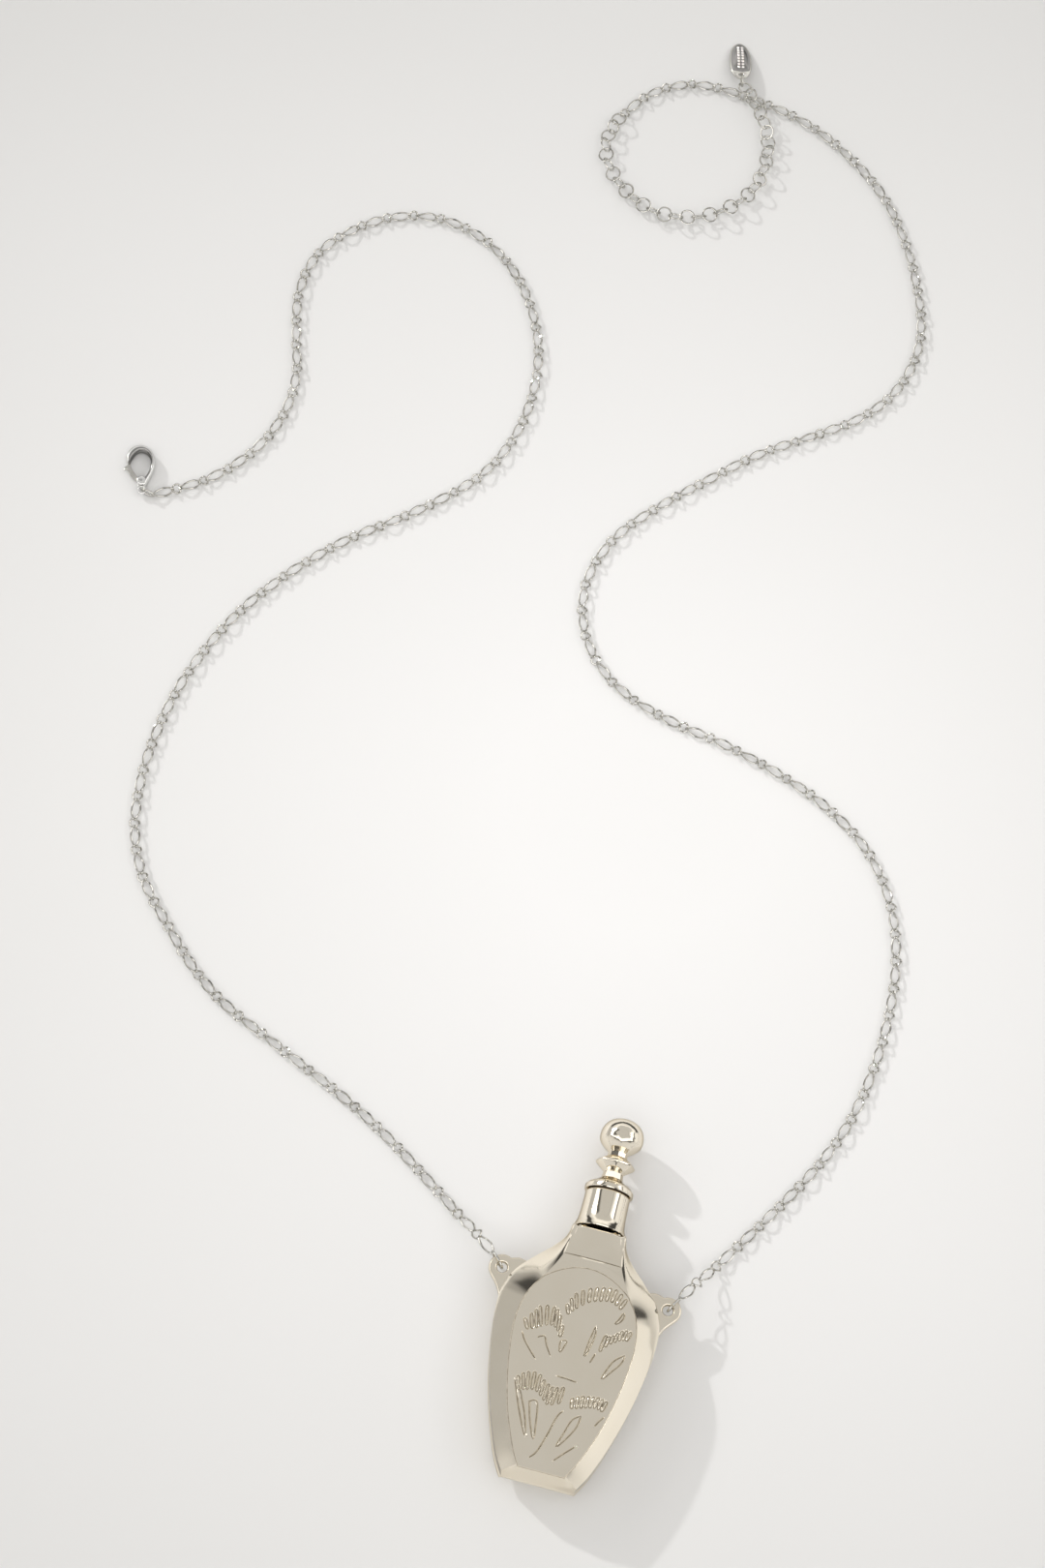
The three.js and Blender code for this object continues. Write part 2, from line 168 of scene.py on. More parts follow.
class Surface(Nodes):
    """A material's nodes, with its Principled shader at hand."""

    def __init__(self, name):
        self.material = bpy.data.materials.new(name)
        super().__init__(self.material)
        self.shader = self.tree.nodes["Principled BSDF"]
        self.place = self.add("TexCoord", {}, {}).outputs["Object"]

    def put(self, socket, source):
        """Links a node's output to one of the shader's inputs."""
        self.link(source, self.shader.inputs[socket])

    def noise(self, size, detail=2.0, stretch=(1, 1, 1)):
        """Noise whose blobs are about size millimetres across."""
        scale = [s / (size * MM) for s in stretch]
        place = self.add("Mapping", {"Scale": scale}, {"Vector": self.place}).outputs["Vector"]
        return self.add("TexNoise", {"Scale": 1.0, "Detail": detail}, {"Vector": place}).outputs["Fac"]

    def spread(self, factor, low, high, middle=0.5, width=0.3):
        """The factor near its middle turned into values from low to high."""
        values = {"From Min": middle - width, "From Max": middle + width, "To Min": low, "To Max": high}
        return self.add("MapRange", values, {"Value": factor}).outputs["Result"]

    def colours(self, factor, first, second):
        values = {6: (*first, 1), 7: (*second, 1)}
        return self.add("Mix", values, {"Factor": factor}, data_type="RGBA").outputs[2]

    def bump(self, height, depth, normal=None):
        """Raises the surface by up to depth millimetres where height is 1."""
        values = {"Strength": 1.0, "Distance": depth * MM}
        links = {"Height": height}
        if normal is not None:
            links["Normal"] = normal
        return self.add("Bump", values, links).outputs["Normal"]


EDGE_TINT = 0.55  # how much of its own colour a metal keeps at a glancing angle
SCRATCHES = 0.0004  # depth of the hair-fine scratches


def polished(name, colour, second, roughness, waves):
    """Plated metal: a slight drift of colour, uneven gloss, soft waves and hair-fine scratches."""
    surface = Surface(name)
    surface.shader.inputs["Metallic"].default_value = 1.0
    surface.shader.inputs["Specular Tint"].default_value = (*[EDGE_TINT * c for c in colour], 1)
    drift = surface.spread(surface.noise(7.0), 0, 1)
    surface.put("Base Color", surface.colours(drift, colour, second))
    surface.put("Roughness", surface.spread(surface.noise(2.2, detail=4), *roughness))
    soft = surface.bump(surface.noise(4.5, detail=1), waves)
    scratches = surface.noise(1.2, detail=3, stretch=(8, 0.5, 8))
    surface.put("Normal", surface.bump(scratches, SCRATCHES, soft))
    return surface.material


def dull(name, metallic, tones, mottle, gloss, grain):
    """A matt surface, mottled between two tones.

    mottle is a noise's size, detail and width, gloss its size and the roughness it gives, and
    grain its size, detail and depth.
    """
    surface = Surface(name)
    surface.shader.inputs["Metallic"].default_value = metallic
    size, detail, width = mottle
    tint = surface.spread(surface.noise(size, detail), 0, 1, width=width)
    surface.put("Base Color", surface.colours(tint, *tones))
    size, smooth, rough = gloss
    surface.put("Roughness", surface.spread(surface.noise(size), smooth, rough))
    size, detail, depth = grain
    surface.put("Normal", surface.bump(surface.noise(size, detail), depth))
    return surface.material


GOLD = polished("champagne_gold", (0.93, 0.865, 0.745), (0.90, 0.83, 0.70), (0.045, 0.10), 0.006)
FACE_GOLD = polished("face_gold", (0.93, 0.865, 0.745), (0.905, 0.84, 0.71), (0.07, 0.12), 0.002)
SILVER = polished("bright_silver", (0.74, 0.73, 0.695), (0.55, 0.54, 0.50), (0.03, 0.09), 0.003)
WHITE_SILVER = polished("white_silver", (0.93, 0.93, 0.92), (0.88, 0.88, 0.87), (0.05, 0.1), 0.002)
# A dark silver: painted shade on the inner side of the clasp's hook, and the tone of the charm's dome.
DARK_SILVER_AND_SHADE = polished("dark_silver_and_shade", (0.40, 0.395, 0.385), (0.30, 0.295, 0.29), (0.06, 0.14), 0.003)
STEEL = polished("spring_steel", (0.66, 0.66, 0.65), (0.58, 0.58, 0.57), (0.18, 0.32), 0.002)
# Painted shade in the bottom of an engraved line, the seal's polymer, and near-black painted shade for
# the insides of the hollow parts.
GROOVE_PAINTED_SHADE = dull("engraved_line", 1.0, ((0.30, 0.26, 0.20), (0.60, 0.54, 0.44)),
                 mottle=(1.1, 3, 0.2), gloss=(0.6, 0.25, 0.4), grain=(0.3, 3, 0.003))
SEAL = dull("seal_polymer", 0.0, ((0.80, 0.79, 0.74), (0.72, 0.71, 0.66)),
            mottle=(0.8, 3, 0.3), gloss=(0.3, 0.5, 0.7), grain=(0.25, 3, 0.004))
# The insides of the hollow parts: near-black painted shade.
SHADED_INSIDE = dull("inside_painted_shade", 1.0, ((0.10, 0.075, 0.05), (0.05, 0.035, 0.025)),
              mottle=(1.5, 4, 0.3), gloss=(0.5, 0.45, 0.65), grain=(0.4, 4, 0.01))

# ---- meshes ----


# Kinds of face in the bottle's skin: an engraved line's walls, and its core, darkened with painted
# shade.
CUT = 2
SHADED_CORE = 3
SAME_POINT = 0.0008  # points nearer to each other than this are one


def unit(vector):
    return vector / np.linalg.norm(vector)


def squarer(wave, power):
    """A wave between -1 and 1, raised to a power: 1 leaves it, and less makes it squarer."""
    return np.sign(wave) * np.abs(wave) ** power


class Body:
    """Points in millimetres and faces, gathered for one mesh. A face's kind is its material."""

    def __init__(self):
        self.points = []
        self.faces = []
        self.kinds = []

    def add(self, points, faces, kind=0):
        base = len(self.points)
        self.points.extend(tuple(map(float, p)) for p in points)
        self.faces.extend(tuple(base + i for i in face) for face in faces)
        self.kinds.extend([kind] * len(faces))

    def grid(self, rows, wrap_rows=False, wrap_columns=False, kind=0):
        """Rows of points, each joined to the next."""
        rows = np.asarray(rows, float)
        count, width = rows.shape[:2]
        faces = []
        for i in range(count if wrap_rows else count - 1):
            for j in range(width if wrap_columns else width - 1):
                near, far = i * width, (i + 1) % count * width
                k = (j + 1) % width
                faces.append((near + j, near + k, far + k, far + j))
        self.add(rows.reshape(-1, 3), faces, kind)

    def lathe(self, profile, centre, axis, start, steps, facets=None, kind=0):
        """A surface turned about an axis through centre from (radius, distance) points.

        facets gives each point's share of an eight-sided section.
        """
        axis = unit(np.asarray(axis, float))
        side = unit(np.cross(axis, start))
        start = np.cross(side, axis)
        angles = np.linspace(0, 2 * math.pi, steps, endpoint=False)
        eighth = math.pi / 4
        flat = math.cos(eighth / 2) / np.cos((angles % eighth) - eighth / 2)
        spokes = np.cos(angles)[:, None] * start + np.sin(angles)[:, None] * side
        rows = []
        for index, (radius, distance) in enumerate(profile):
            share = facets[index] if facets else 0
            reach = radius * (1 - share + share * flat)
            rows.append(centre + axis * distance + reach[:, None] * spokes)
        self.grid(rows, wrap_columns=True, kind=kind)


@contextmanager
def edited(mesh):
    """A mesh's faces to work on, written back to it at the end."""
    shape = bmesh.new()
    shape.from_mesh(mesh)
    yield shape
    shape.to_mesh(mesh)
    shape.free()


def tidy_up(shape):
    """Joins points that meet and turns every face outwards."""
    bmesh.ops.remove_doubles(shape, verts=shape.verts, dist=SAME_POINT * MM)
    bmesh.ops.recalc_face_normals(shape, faces=shape.faces)


def shown(name, mesh):
    """A mesh as an object in the scene."""
    piece = bpy.data.objects.new(name, mesh)
    bpy.context.scene.collection.objects.link(piece)
    return piece


def crease(shape, angle):
    """Marks edges sharp where their faces turn by more than an angle, except inside a groove."""
    for edge in shape.edges:
        if len(edge.link_faces) != 2:
            continue
        soft = all(face.material_index in (CUT, SHADED_CORE) for face in edge.link_faces)
        edge.smooth = soft or edge.calc_face_angle(0) < math.radians(angle)


def mesh_piece(name, body, materials, sharp=30.0, faces_up=False):
    """The body as a smooth-shaded object in metres, with creases where its faces turn sharply."""
    mesh = bpy.data.meshes.new(name)
    mesh.from_pydata([tuple(c * MM for c in p) for p in body.points], [], body.faces)
    for material in materials:
        mesh.materials.append(material)
    mesh.polygons.foreach_set("material_index", body.kinds)
    with edited(mesh) as shape:
        tidy_up(shape)
        if faces_up and sum(face.normal.z * face.calc_area() for face in shape.faces) < 0:
            bmesh.ops.reverse_faces(shape, faces=shape.faces)
        for face in shape.faces:
            face.smooth = True
        crease(shape, sharp)
    return shown(name, mesh)


def apply_modifiers(piece):
    """Makes a piece's modifiers part of its mesh."""
    graph = bpy.context.evaluated_depsgraph_get()
    mesh = bpy.data.meshes.new_from_object(piece.evaluated_get(graph))
    piece.modifiers.clear()
    piece.data = mesh


def stands_for(piece, body, node):
    """Makes a piece ride on a body, in place of a CAD node."""
    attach(piece, body)
    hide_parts(node)


def smooth_line(points, steps):
    """A Catmull-Rom line through the points, with so many steps to each stretch."""
    points = [np.array(p, float) for p in points]
    points = [2 * points[0] - points[1], *points, 2 * points[-1] - points[-2]]
    line = []
    for before, here, there, after in zip(points, points[1:], points[2:], points[3:]):
        for i in range(steps):
            t = i / steps
            square = (2 * before - 5 * here + 4 * there - after) * t * t
            cube = (-before + 3 * here - 3 * there + after) * t**3
            line.append(0.5 * (2 * here + (there - before) * t + square + cube))
    line.append(points[-2])
    return np.array(line)


# ---- the chain ----


class Route:
    """A line on the table, measured along its length, with a height at each place."""

    def __init__(self, points, height):
        self.line = smooth_line(points, 24)
        steps = np.linalg.norm(np.diff(self.line, axis=0), axis=1)
        self.marks = np.concatenate([[0], np.cumsum(steps)])
        self.length = self.marks[-1]
        self.height = height

    def at(self, distance):
        x = np.interp(distance, self.marks, self.line[:, 0])
        y = np.interp(distance, self.marks, self.line[:, 1])
        return np.array([x, y, self.height(distance, self.length)])

    def path(self, start, end, spacing=2.0):
        """Points along a stretch, in metres."""
        count = max(3, round((end - start) / spacing))
        return [tuple(self.at(s) * MM) for s in np.linspace(start, end, count)]


def chain_height(distance, _length):
    share = min(1.0, max(0.0, distance / CHAIN_DROP))
    return CHAIN_LOW + (MID - CHAIN_LOW) * 0.5 * (1 + math.cos(math.pi * share))


def extender_height(distance, length):
    share = min(1.0, max(0.0, (distance / length - 0.8) / 0.1))
    return EXTENDER_LOW + (EXTENDER_HIGH - EXTENDER_LOW) * share * share * (3 - 2 * share)


def add_link(body, route, middle, size, roll, twist, pointed=0.0):
    """A closed wire link round the route, its plane turned by roll and twisted along its length."""
    half = size["length"] / 2
    start, end = route.at(middle - half), route.at(middle + half)
    forward = unit(end - start)
    side = unit(np.cross(UP, forward))
    lift = np.cross(forward, side)
    centre = (start + end) / 2
    turn = np.linspace(0, 2 * math.pi, 36, endpoint=False)
    along = half * np.cos(turn)
    across = size["width"] / 2 * np.sin(turn) * np.abs(np.sin(turn)) ** pointed
    lean = roll + twist * along / half
    wide = np.cos(lean)[:, None] * side + np.sin(lean)[:, None] * lift
    wire_line = centre + along[:, None] * forward + across[:, None] * wide
    add_wire(body, wire_line, centre, size["wire"], closed=True, sides=10, flat=0.9)


def directions(line, closed):
    """The unit tangent at each point of a line."""
    if closed:
        tangent = np.roll(line, -1, axis=0) - np.roll(line, 1, axis=0)
    else:
        tangent = np.gradient(line, axis=0)
    return tangent / np.linalg.norm(tangent, axis=1)[:, None]


def add_wire(body, line, centre, radius, closed, sides, flat=1.0):
    """A wire along a line round a centre, flattened across the line's plane.

    An open line's ends are cut square.
    """
    tangent = directions(line, closed)
    outward = line - centre
    outward -= np.sum(outward * tangent, axis=1)[:, None] * tangent
    outward /= np.linalg.norm(outward, axis=1)[:, None]
    across = np.cross(tangent, outward)
    around = np.linspace(0, 2 * math.pi, sides, endpoint=False)
    out_part = np.cos(around)[None, :, None] * outward[:, None, :]
    across_part = flat * np.sin(around)[None, :, None] * across[:, None, :]
    rows = line[:, None, :] + radius * (out_part + across_part)
    if not closed:
        rows = np.concatenate([[[line[0]] * sides], rows, [[line[-1]] * sides]])
    body.grid(rows, wrap_rows=closed, wrap_columns=True)


def repeats_along(length):
    """How many times the chain's pattern fits a length."""
    return math.floor(length / PITCH + 0.5)


def run_edges(length):
    """Where the runs of one side of the chain meet, as in the CAD: whole repeats of the pattern."""
    repeats = repeats_along(length)
    return [math.floor(repeats * i / RUNS + 0.5) * length / repeats for i in range(RUNS + 1)]


def chain_items(length, ends_with_long):
    """Each link of one side: its middle along the route, and its size."""
    repeats = repeats_along(length)
    if ends_with_long:
        pitch = (length - LONG_LINK["length"]) / (repeats - 1)
    else:
        pitch = (length - 2 * SMALL_RING["wire"]) / repeats
    items = []
    for i in range(repeats):
        items.append((i * pitch + LONG_LINK["length"] / 2, LONG_LINK))
        if i < repeats - 1 or not ends_with_long:
            items.append((i * pitch + (LONG_LINK["length"] + pitch) / 2, SMALL_RING))
    return items


def add_chain_side(side, points, ends_with_long, chance):
    """One side of the chain: eight runs of twisted long links with small rings between them."""
    route = Route(points, chain_height)
    edges = run_edges(route.length)
    bodies = [Body() for _ in range(RUNS)]
    twist = math.pi / 4  # either way, so a quarter turn from end to end
    for middle, size in chain_items(route.length, ends_with_long):
        run = min(RUNS - 1, sum(middle > edge for edge in edges[1:]))
        roll = math.radians(chance.uniform(-14, 14))
        pointed = 0.3 if size is LONG_LINK else 0.0
        add_link(bodies[run], route, middle, size, roll, twist, pointed)
    for index, body in enumerate(bodies):
        name = f"chain_{side}_{index + 1}"
        start, end = edges[index], edges[index + 1]
        piece = mesh_piece(f"{name}_links", body, [SILVER])
        stands_for(piece, name, name)
        tuple(route.at(start) * MM)
        route.path(start, end)


def add_extender(chance):
    """The extender: one size of round rings, lying now flat and now steep."""
    route = Route(EXTENDER_ROUTE, extender_height)
    split = route.length * EXTENDER_SPLIT
    lying, loose = Body(), Body()
    for body, start, end in ((lying, 0, split), (loose, split, route.length)):
        count = round((end - start) / EXTENDER_PITCH)
        for i in range(count):
            roll = math.radians(EXTENDER_LEANS[i % 2] + chance.uniform(-7, 7))
            middle = start + (i + 0.5) * (end - start) / count
            add_link(body, route, middle, EXTENDER_RING, roll, 0)
    end_piece = mesh_piece("extender_end_rings", loose, [SILVER])
    stands_for(end_piece, "extender_end", "extender_end")
    piece = mesh_piece("extender_rings", lying, [SILVER])
    stands_for(piece, "extender", "extender_run")
    tuple(route.at(0) * MM)
    route.path(0, split)


RING_CUT = 0.07  # half the angle between a jump ring's butted ends
RING_CUT_AT = math.pi * 0.62  # where round the ring the cut is


def add_jump_ring(name, hole, towards, size):
    """An oval wire ring standing on edge, from a hole towards a point, with its ends butted."""
    length, tall, wire = size
    start = np.array(hole, float)
    along = unit(np.array([*towards, 0.0]) - np.array([start[0], start[1], 0.0]))
    half = length / 2 - wire
    centre = start + along * half
    turn = np.linspace(RING_CUT, 2 * math.pi - RING_CUT, 48) + RING_CUT_AT
    rise = (tall / 2 - wire) * np.sin(turn)
    line = centre + half * np.cos(turn)[:, None] * along + rise[:, None] * UP
    body = Body()
    add_wire(body, line, centre, wire, closed=False, sides=12)
    piece = mesh_piece(f"{name}_wire", body, [SILVER])
    stands_for(piece, name, name)


# ---- the bottle ----

# Half-width and height above the foot of the seam outline, and of the flat face's edge.
OUTLINE = [
    (7.7, 0), (10.1, 4.3), (12.8, 11.5), (15.2, 20), (16.8, 28.5), (17.4, 35),
    (17.1, 39), (15.6, 43), (12.4, 46.8), (8.6, 50.3), (6.5, 53), (5.9, 55.6),
]
# The face's edge up to the shoulder, then the edges of the neck's front facet, with heights.
RAIL = [
    (5, 1.5, 12), (7.2, 5.6, 12), (10, 13, 12), (11.9, 21, 12), (12.9, 28.5, 12), (12.9, 33, 12),
    (12.3, 36.5, 12), (11.2, 39.4, 12), (9.3, 42.2, 12), (7.1, 46.2, 11.8), (5.6, 50.4, 11.2),
    (4.5, 55.6, 10.0),
]
SHOULDER = 8  # the index in both lists where the face ends and the neck's facet begins
STEPS = 8  # stations to each stretch of the lists
BAND_TOP = 7.2  # the upright band round the seam reaches at least this high
BEVEL_SLOPE = 0.86  # rise of the bevel from the band to the flat face
BULGE = 0.05  # the bevel's bulge beside the face
NECK_BULGE = 0.75  # and how much more it has at the top of the neck
BEVEL_SHARES = np.linspace(0, 1, 9)  # where the bevel's rows of points are
FOOT_SHARES = np.linspace(0, 1, 13)  # and the columns of the facet at the foot
SEAM_HALF_GAP = 0.15
CHAMFER = 0.13  # width of the bright line along an edge
RIM_DROP = CHAMFER * 0.45  # how far the face's edge is below the face
LINE = 0.11  # depth, and half the width, of the fine line round the face
ARCH_WIDTH = 9.3
ARCH_HEIGHT = 4.0
WALL = 0.8

# The engraving: fans of petals, each between an outer and an inner line, as half-width and
# height above the foot; loops drawn closed; and single strokes.
FANS = [
    (9, [(-10.9, 32.4), (-9.3, 34.4), (-8.2, 36.0), (-5.7, 36.4), (-4.3, 35.7), (-2.9, 32.9)],
     [(-9.8, 30.2), (-8.4, 30.7), (-7.0, 31.6), (-5.4, 32.2), (-4.0, 31.8), (-2.9, 30.3)]),
    (11, [(-3.0, 37.6), (-1.7, 40.4), (1.0, 42.2), (3.7, 43.1), (6.4, 43.3), (8.9, 41.8)],
     [(-2.3, 35.5), (-0.9, 37.1), (1.3, 39.0), (3.6, 39.9), (5.9, 40.3), (7.9, 39.3)]),
    (7, [(6.5, 33.2), (7.6, 33.2), (8.8, 34.2), (10.0, 35.2), (11.4, 35.2)],
     [(5.9, 29.4), (7.2, 31.2), (8.4, 32.1), (9.7, 32.8), (10.7, 33.0)]),
    (10, [(-9.4, 20.1), (-7.6, 21.5), (-5.4, 21.8), (-3.4, 20.4), (-1.6, 19.7), (0.4, 20.2)],
     [(-8.6, 17.2), (-7.0, 17.6), (-5.3, 17.9), (-3.5, 16.8), (-2.1, 15.6), (0.1, 16.4)]),
    (8, [(2.8, 18.4), (4.5, 19.3), (6.5, 19.7), (8.3, 19.9), (9.8, 19.5)],
     [(3.0, 16.1), (4.6, 16.6), (6.2, 17.1), (7.8, 17.4), (9.1, 17.1)]),
]
PETAL_WIDTH = 0.66
PETAL_POWER = 0.7  # a petal's outline: 1 is an ellipse, and less is squarer
LOOPS = [
    [(-2.5, 29.6), (-1.3, 29.8), (-1.5, 28.6), (-2.1, 27.2), (-2.5, 28.4)],
    [(3.9, 34.3), (3.3, 31.0), (3.0, 27.6), (3.6, 29.2), (4.2, 32.4)],
    [(11.2, 30.0), (9.0, 27.8), (7.6, 23.8), (9.4, 26.0), (10.9, 28.2)],
    [(-9.7, 19.0), (-7.6, 13.4), (-5.1, 8.3), (-6.1, 12.4), (-8.3, 17.2)],
    [(-5.8, 15.4), (-4.8, 11.6), (-3.2, 7.9), (-3.5, 11.8), (-4.1, 15.4), (-5.0, 15.9)],
    [(5.3, 15.2), (3.7, 13.8), (2.7, 10.8), (1.8, 7.6), (3.6, 10.0), (5.0, 12.8)],
    [(8.9, 38.8), (8.4, 37.4), (7.7, 36.0), (8.6, 36.6), (9.2, 37.8)],
]
STROKES = [
    [(-10.9, 29.5), (-9.9, 27.8), (-8.3, 26.0), (-6.6, 24.2)],
    [(-7.5, 28.9), (-6.6, 29.5), (-5.9, 29.5), (-5.2, 27.9), (-3.7, 25.5)],
    [(-1.9, 22.0), (0.6, 22.0), (3.1, 21.7)],
    [(1.6, 15.3), (0.5, 13.7), (-0.6, 9.4), (-1.9, 5.5), (-3.3, 3.7)],
    [(5.9, 8.8), (3.7, 6.6), (1.6, 4.2)],
    [(10.1, 16.2), (9.2, 15.0), (8.4, 13.5)],
    [(5.2, 28.8), (4.8, 27.6), (4.4, 26.4)],
]
GROOVE = 0.22  # half the width of an engraved line
GROOVE_DEPTH = 0.24
CORE_REACH = 0.6  # the share of half an engraved line's width that is painted dark as shade
NARROWEST = 0.01  # where half an engraved line's width is less, it leaves no mark
GRID = 0.55  # spacing of the points on the plain face


def arch_rise(x):
    """Height above its ends of the arch that closes the flat face, at a distance off the axis."""
    share = min(1.0, abs(x) / ARCH_WIDTH)
    return ARCH_HEIGHT * (1 - share * share)


def stations():
    """Matching points up one side: the seam outline and the rail, as [x, y, z] rows."""
    outline = smooth_line([(x, y, 0) for x, y in OUTLINE], STEPS)
    rail = smooth_line(RAIL, STEPS)
    return outline + [0, FOOT, 0], rail + [0, FOOT, 0]


def bevel_rows(seam, rail):
    """The band and the bevel of one side, one row of points for each station."""
    rows = []
    for index, (low, high) in enumerate(zip(seam, rail)):
        inward = unit((high - low)[:2])
        neck = max(0.0, (index - SHOULDER * STEPS) / (len(seam) - 1 - SHOULDER * STEPS))
        bulge = BULGE + NECK_BULGE * neck
        sloping = high[2] - BEVEL_SLOPE * np.linalg.norm((high - low)[:2])
        band = MID + 2 * SEAM_HALF_GAP if index == 0 else max(BAND_TOP, sloping)
        base = np.array([low[0], low[1], MID + SEAM_HALF_GAP])
        lip = np.array([low[0], low[1], band])
        edge = lip + [*inward * CHAMFER, CHAMFER]
        slope = high - edge
        row = [base, lip]
        outward = np.array([*(-0.6 * inward), 0.8])
        for share in BEVEL_SHARES:
            row.append(edge + slope * share + bulge * math.sin(math.pi * share) * outward)
        rows.append(row)
    return np.array(rows)


def mirrored(points):
    return np.asarray(points) * [-1, 1, 1]


NECK_ROWS = 12  # rows from the arch to where the neck's own facet begins
CROWN = 0.25  # bulge of the facet at the neck's foot, and how much more it has at the top
ARCH_LAG = 0.08  # how much the rows keep of the arch on their way up
NECK_ARCH = 0.35  # height of the slight arch that the neck's facet ends in
# The rows of the fine groove: how far each is above the row before the groove, and how deep.
GROOVE_ROWS = ((0.12, 0.12), (0.24, 0.015))


def hood_rows(rail):
    """The front above the flat face: a lens-shaped facet over the arch, then the neck's facet.

    The second result is the row where the fine groove between the two begins.
    """
    first, last = SHOULDER * STEPS, len(rail) - 1
    lip = first + NECK_ROWS
    shares = np.sin(np.linspace(-math.pi / 2, math.pi / 2, 41))
    rows = []
    for index in range(first, last + 1):
        if index <= lip:
            level = (index - first) / NECK_ROWS
            lag = ARCH_LAG * math.sin(math.pi * level)
            bow = [(1 - level + lag) * arch_rise(s * ARCH_WIDTH) for s in shares]
            crown = CROWN * level
        else:
            level = (index - lip) / (last - lip)
            bow = [NECK_ARCH * level * level * (1 - s * s) for s in shares]
            crown = CROWN + CROWN * level
        x, y, z = rail[index]
        row = [(x * s, y + rise, z + crown * (1 - s * s)) for s, rise in zip(shares, bow)]
        rows.append(row)
        if index == lip:
            rows.extend(fine_groove(row))
    return np.array(rows), NECK_ROWS


def fine_groove(row):
    """Two more rows that cut a hair-fine groove above a row, fading out at both ends."""
    extra = []
    for offset, depth in GROOVE_ROWS:
        moved = []
        for share, point in zip(np.linspace(-1, 1, len(row)), row):
            fade = 1 - share**4
            moved.append(np.array(point) + [0, offset * fade, -depth * fade])
        extra.append(moved)
    return extra


def petal_loop(tip, root):
    """A narrow rounded loop from an inner point to an outer one."""
    tip, root = np.array(tip), np.array(root)
    middle, half = (tip + root) / 2, (tip - root) / 2
    reach = np.linalg.norm(half)
    aside = np.array([-half[1], half[0]]) / reach * PETAL_WIDTH / 2
    turn = np.linspace(0, 2 * math.pi, 14, endpoint=False)
    bow = squarer(np.sin(turn), PETAL_POWER)
    return [middle + half * math.cos(t) + aside * b for t, b in zip(turn, bow)]


def engraved_lines():
    """Every engraved line as points on the face, and whether it closes on itself."""
    lines = []
    for count, outer, inner in FANS:
        tips, roots = smooth_line(outer, 12), smooth_line(inner, 12)
        for i in range(count):
            share = i / (count - 1)
            tip = tips[round(share * (len(tips) - 1))]
            root = roots[round(share * (len(roots) - 1))]
            lines.append((np.array(petal_loop(tip, root)), True))
    for loop in LOOPS:
        lines.append((smooth_line([*loop, loop[0]], 4)[:-1], True))
    for stroke in STROKES:
        lines.append((smooth_line(stroke, 5), False))
    return [(line + [0, FOOT], closed) for line, closed in lines]


def line_taper(line, closed):
    """An engraved line's width at each point, from 0 to 1: an open line narrows to its ends."""
    if closed:
        return np.ones(len(line))
    share = np.linspace(0, 1, len(line))
    return np.clip(4 * np.minimum(share, 1 - share), 0, 1) ** 0.5


def offset_line(line, closed, distance):
    """The line moved sideways by a distance, less where it narrows."""
    tangent = directions(line, closed)
    normal = np.stack([-tangent[:, 1], tangent[:, 0]], axis=1)
    return line + normal * distance * line_taper(line, closed)[:, None]


def reach_from_lines(point, segments):
    """How far a point is from the nearest engraved line, as a share of half its width there."""
    start, step, begin, end = segments
    share = np.sum((point - start) * step, axis=1) / np.sum(step * step, axis=1)
    share = np.clip(share, 0, 1)
    away = np.linalg.norm(point - start - step * share[:, None], axis=1)
    width = (begin + (end - begin) * share) * GROOVE * 0.98  # just inside the outer lines
    marked = width >= NARROWEST
    return float(np.min(away[marked] / width[marked], initial=1))


def plain_points(rim, segments):
    """A grid of points on the face between the engraved lines, so that no long triangle spans it."""
    rim = np.array(rim)
    low, high = rim.min(axis=0), rim.max(axis=0)
    margin = 1.5 * GRID
    points = []
    for y in np.arange(low[1] + GRID, high[1], GRID):
        crossing = rim[np.abs(rim[:, 1] - y) < margin]
        reach = np.abs(crossing[:, 0]).max() - margin if len(crossing) else 0
        for x in np.arange(-reach, reach, GRID):
            point = np.array([x, y])
            if reach_from_lines(point, segments) == 1:
                points.append(point)
    return points


def engrave(points, edges):
    """Adds each engraved line as five side by side. Gives the lines' segments with their widths."""
    pieces = []
    for line, closed in engraved_lines():
        taper = line_taper(line, closed)
        count = len(line) if closed else len(line) - 1
        for i in range(count):
            after = (i + 1) % len(line)
            pieces.append((line[i], line[after] - line[i], taper[i], taper[after]))
        for distance in np.array((-1, -0.5, 0, 0.5, 1)) * GROOVE:
            base = len(points)
            points.extend(offset_line(line, closed, distance))
            edges.extend((base + i, base + (i + 1) % len(line)) for i in range(count))
    return [np.array(column) for column in zip(*pieces)]


def triangles_between(points, edges):
    """The area inside the edges as points and triangles."""
    inside_only = 1
    nearness = 1e-4
    result = delaunay_2d_cdt([Vector(p) for p in points], edges, [], inside_only, nearness)
    return result[0], result[2]


def face_patch(body, rim, engraved):
    """The flat face inside its rim, with the engraved lines cut into it."""
    points = [np.array(p[:2]) for p in rim]
    edges = [(i, (i + 1) % len(rim)) for i in range(len(rim))]
    if not engraved:
        places, triangles = triangles_between(points, edges)
        body.add([(p.x, p.y, THICKNESS) for p in places], triangles)
        return
    border = list(points)
    segments = engrave(points, edges)
    points.extend(plain_points(border, segments))
    places, triangles = triangles_between(points, edges)
    shares = [reach_from_lines(np.array(p), segments) for p in places]
    depths = [GROOVE_DEPTH * math.cos(math.pi / 2 * share) ** 2 for share in shares]
    solid = [(p.x, p.y, THICKNESS - depth) for p, depth in zip(places, depths)]
    groups = {0: [], CUT: [], SHADED_CORE: []}
    for triangle in triangles:
        reaches = [shares[i] for i in triangle]
        kind = 0 if min(reaches) == 1 else SHADED_CORE if max(reaches) < CORE_REACH else CUT
        groups[kind].append(triangle)
    for kind, faces in groups.items():
        body.add(solid, faces, kind)


